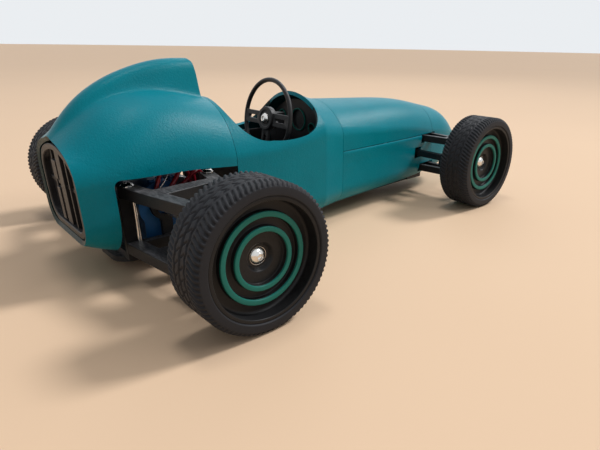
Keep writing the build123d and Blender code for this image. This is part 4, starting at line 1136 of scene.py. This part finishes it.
def smooth_route(points, steps=14):
    """Catmull-Rom curve through the points: each stretch bends to the line between its neighbours."""
    padded = np.concatenate([points[:1] * 2 - points[1:2], points, points[-1:] * 2 - points[-2:-1]])
    share = np.linspace(0, 1, steps, endpoint=False)[:, None]
    parts = []
    for a, b, c, d in zip(padded[:-3], padded[1:-2], padded[2:-1], padded[3:]):
        parts.append(0.5 * (2 * b + (c - a) * share + (2 * a - 5 * b + 4 * c - d) * share ** 2
                            + (3 * b - a - 3 * c + d) * share ** 3))
    return np.concatenate(parts + [points[-1:]])


# red motor leads, then a thin bare wire over them: radius, then points as (station, y, height)
LEADS = [
    (1.1, [(-4.0, -18.2, 40.5), (-3.2, -19.9, 42.0), (-1.6, -19.8, 45.5), (1.6, -18.4, 51.0),
           (7.0, -16.4, 55.6), (13.0, -15.4, 54.8), (17.4, -15.2, 48.0), (18.6, -15.2, 38.0),
           (18.6, -15.2, 26.8)]),
    (1.2, [(2.6, -18.2, 39.5), (4.0, -19.9, 40.8), (7.2, -19.9, 44.5), (11.6, -18.2, 49.4),
           (16.4, -15.6, 52.2), (20.8, -13.6, 49.0), (22.4, -12.6, 40.0), (22.4, -12.6, 26.8)]),
    (1.1, [(5.0, -18.2, 38.6), (7.0, -20.0, 40.2), (12.5, -20.2, 43.2), (18.6, -18.8, 46.6),
           (23.6, -16.8, 47.6), (26.0, -15.8, 42.0), (26.2, -15.6, 34.0), (26.2, -15.6, 26.8)]),
    (0.3, [(-3.0, -18.4, 41.0), (-2.6, -20.6, 41.6), (-0.6, -21.0, 43.6), (1.6, -20.6, 45.6),
           (5.4, -18.6, 49.4), (9.0, -15.0, 50.0), (10.0, -10.0, 45.0)]),
]


def make_leads():
    """Leads: out of the motor's end, up and forward in a slack curve, the red ones down to the controller."""
    *red, bare = [tube(smooth_route(in_car(points)), radius * MM) for radius, points in LEADS]
    piece("motor_lead_set", joined(red), "motor_wires", 50.0)
    piece("bare_wire", bare, "rear_arm_screws", 50.0, stands_in=False)


# motor can in front of the gear case: station, height, radius, end y on the right and on the left
MOTOR_CAN = (14.0, 36.0, 9.0, -11.0, 16.0)


def make_motor_can():
    """Dark round can of the motor, lying across the car: turned from (radius, y)."""
    station, height, radius, right, left = MOTOR_CAN
    profile = np.array([(0.05, left), (radius - 1, left), (radius, left - 1), (radius, right + 1),
                        (radius - 1, right), (3.0, right), (2.6, right - 1.2), (0.05, right - 1.2)])
    points = about_axle(*profile.T, round_angles(64), Vector((station, 0, height)), -1)
    skin = quilt(in_car(points), loop_rows=True)
    piece("motor_can", skin, "gear_case", 50.0, FINISHES["battery_wrap"], stands_in=False)


DOME_R = 3.2
DOME_H = 1.9
STAY_R = 1.1


def make_arm_screws():
    """Low screw heads on the upper arms, and the bright stays between the arms."""
    arm_low, arm_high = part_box("rear_upper_arm_right")
    low_arm_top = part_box("rear_lower_arm_right")[1].z
    inset, dome_y, stay_inset, stay_y = 4.0 * MM, 25.0 * MM, 6.4 * MM, 23.6 * MM
    parts = []
    for side in (-1, 1):
        for edge, inward in ((arm_low.x, 1), (arm_high.x, -1)):
            grid = spun(button(DOME_R, DOME_H, 0.7) * MM, 64, (edge + inward * inset, side * dome_y))
            grid[..., 2] += arm_high.z
            parts.append(quilt(grid, True))
            spot = (edge + inward * stay_inset, side * stay_y)
            ends = np.array([[*spot, low_arm_top], [*spot, arm_low.z]])
            share = np.linspace(0, 1, 9)[:, None]
            parts.append(tube(ends[0] + (ends[1] - ends[0]) * share, STAY_R * MM))
    piece("arm_screws_and_stays", joined(parts), "rear_arm_screws", 32.0)


for end in ("rear", "front"):
    for hand in ("right", "left"):
        make_rim(end, hand)
        make_rings(end, hand)
        make_hub_screw(end, hand)
make_rear_cowl()
make_cockpit()
for make_panel in (make_bonnet, make_front_lower_body, make_nose_cap):
    make_panel(body_outline(FRONT_ROWS))
make_steering_wheel()
make_wheel_cap()
make_gauge_rings()
make_leads()
make_motor_can()
make_arm_screws()
make_tail_panel()
make_upper_arm("left", 1)
make_upper_arm("right", -1)
for node_name in NODES:
    stem = node_name.removesuffix("_left").removesuffix("_right")
    if stem in SOFT_EDGES:
        softened(node_name, SOFT_EDGES[stem])


# ---------------------------------------------------------------- camera, lights and floor
CAMERA_SPOT = (-0.21507, -0.26313, 0.11488)
CAMERA_YAW = 44.00
CAMERA_PITCH = 23.76
CAMERA_ROLL = -0.98
CAMERA_LENS = 28.751
CAMERA_SHIFT = (-0.0741, 0.0454)
SENSOR = 36.0


def make_camera():
    """Camera behind the right rear wheel: yaw from +Y towards +X, pitch down, roll about its axis."""
    yaw, pitch, roll = (radians(a) for a in (CAMERA_YAW, CAMERA_PITCH, CAMERA_ROLL))
    ahead = Vector((sin(yaw) * cos(pitch), cos(yaw) * cos(pitch), -sin(pitch)))
    level = Vector((cos(yaw), -sin(yaw), 0))
    down = ahead.cross(level)
    right = cos(roll) * level + sin(roll) * down
    below = cos(roll) * down - sin(roll) * level
    data = bpy.data.cameras.new("view")
    data.lens = CAMERA_LENS
    data.sensor_width = SENSOR
    data.shift_x, data.shift_y = CAMERA_SHIFT
    data.clip_start = 0.01
    data.clip_end = 50.0
    camera = linked("view", data)
    turn = Matrix((right, -below, -ahead)).transposed()
    camera.matrix_world = Matrix.Translation(CAMERA_SPOT) @ turn.to_4x4()
    bpy.context.scene.camera = camera


# lights: kind, name, strength, spot, point that it faces, own settings
LIGHTS = [
    ("SUN", "key", 2.0, (0.85, -0.28, 0.90), (0, 0, 0), {"angle": 0.22}),
    ("AREA", "strip", 2.4, (0.50, -0.62, 0.80), (0, 0, 0.05), {"size": 0.9, "size_y": 0.16}),
    ("AREA", "window", 2.2, (0.95, 0.80, 0.95), (0, 0, 0.03),
     {"size": 0.8, "size_y": 0.5, "color": (0.95, 0.98, 1.0)}),
    ("AREA", "ceiling", 3.0, (-0.04, 0.0, 1.30), (0, 0, 0.05),
     {"size": 0.25, "size_y": 0.25, "color": (1.0, 0.99, 0.97)}),
]


def make_light(kind, name, strength, spot, aim, settings):
    """A broad sun or a soft box at a spot, facing an aim point."""
    data = bpy.data.lights.new(name, kind)
    data.energy = strength
    if kind == "AREA":
        data.shape = "RECTANGLE"
    for key, value in settings.items():
        setattr(data, key, value)
    lamp = linked(name, data)
    lamp.location = spot
    lamp.rotation_euler = (Vector(aim) - Vector(spot)).to_track_quat("-Z", "Y").to_euler()


def make_floor():
    """Flat round table top, wide enough to reach the horizon."""
    profile = np.array([(0.0, 0.0), (0.3, 0.0), (1.0, 0.0), (3.0, 0.0), (9.0, 0.0)])
    vertices, quads = quilt(spun(profile), loop_rows=True)
    mesh = bpy.data.meshes.new("table_top")
    mesh.from_pydata(vertices.tolist(), [], quads.tolist())
    mesh.materials.append(studio_floor())
    linked("table_top", mesh)


def make_world():
    """Even soft light; the camera, metal and gloss see a pale background."""
    world = bpy.data.worlds.new("studio")
    bpy.context.scene.world = world
    world.use_nodes = True
    tree = world.node_tree
    back = tree.nodes["Background"]
    back.inputs["Color"].default_value = (0.94, 0.97, 1.0, 1.0)
    path = tree.nodes.new("ShaderNodeLightPath")
    level = tree.nodes.new("ShaderNodeMapRange")
    level.inputs["To Min"].default_value = 0.30
    level.inputs["To Max"].default_value = 0.88
    shown = path.outputs["Is Camera Ray"]
    for ray in ("Is Glossy Ray", "Is Transmission Ray"):
        total = tree.nodes.new("ShaderNodeMath")
        total.operation = "ADD"
        tree.links.new(shown, total.inputs[0])
        tree.links.new(path.outputs[ray], total.inputs[1])
        shown = total.outputs[0]
    tree.links.new(shown, level.inputs["Value"])
    tree.links.new(level.outputs["Result"], back.inputs["Strength"])


make_camera()
make_world()
make_floor()
for light in LIGHTS:
    make_light(*light)
bpy.context.scene.view_settings.view_transform = "Standard"
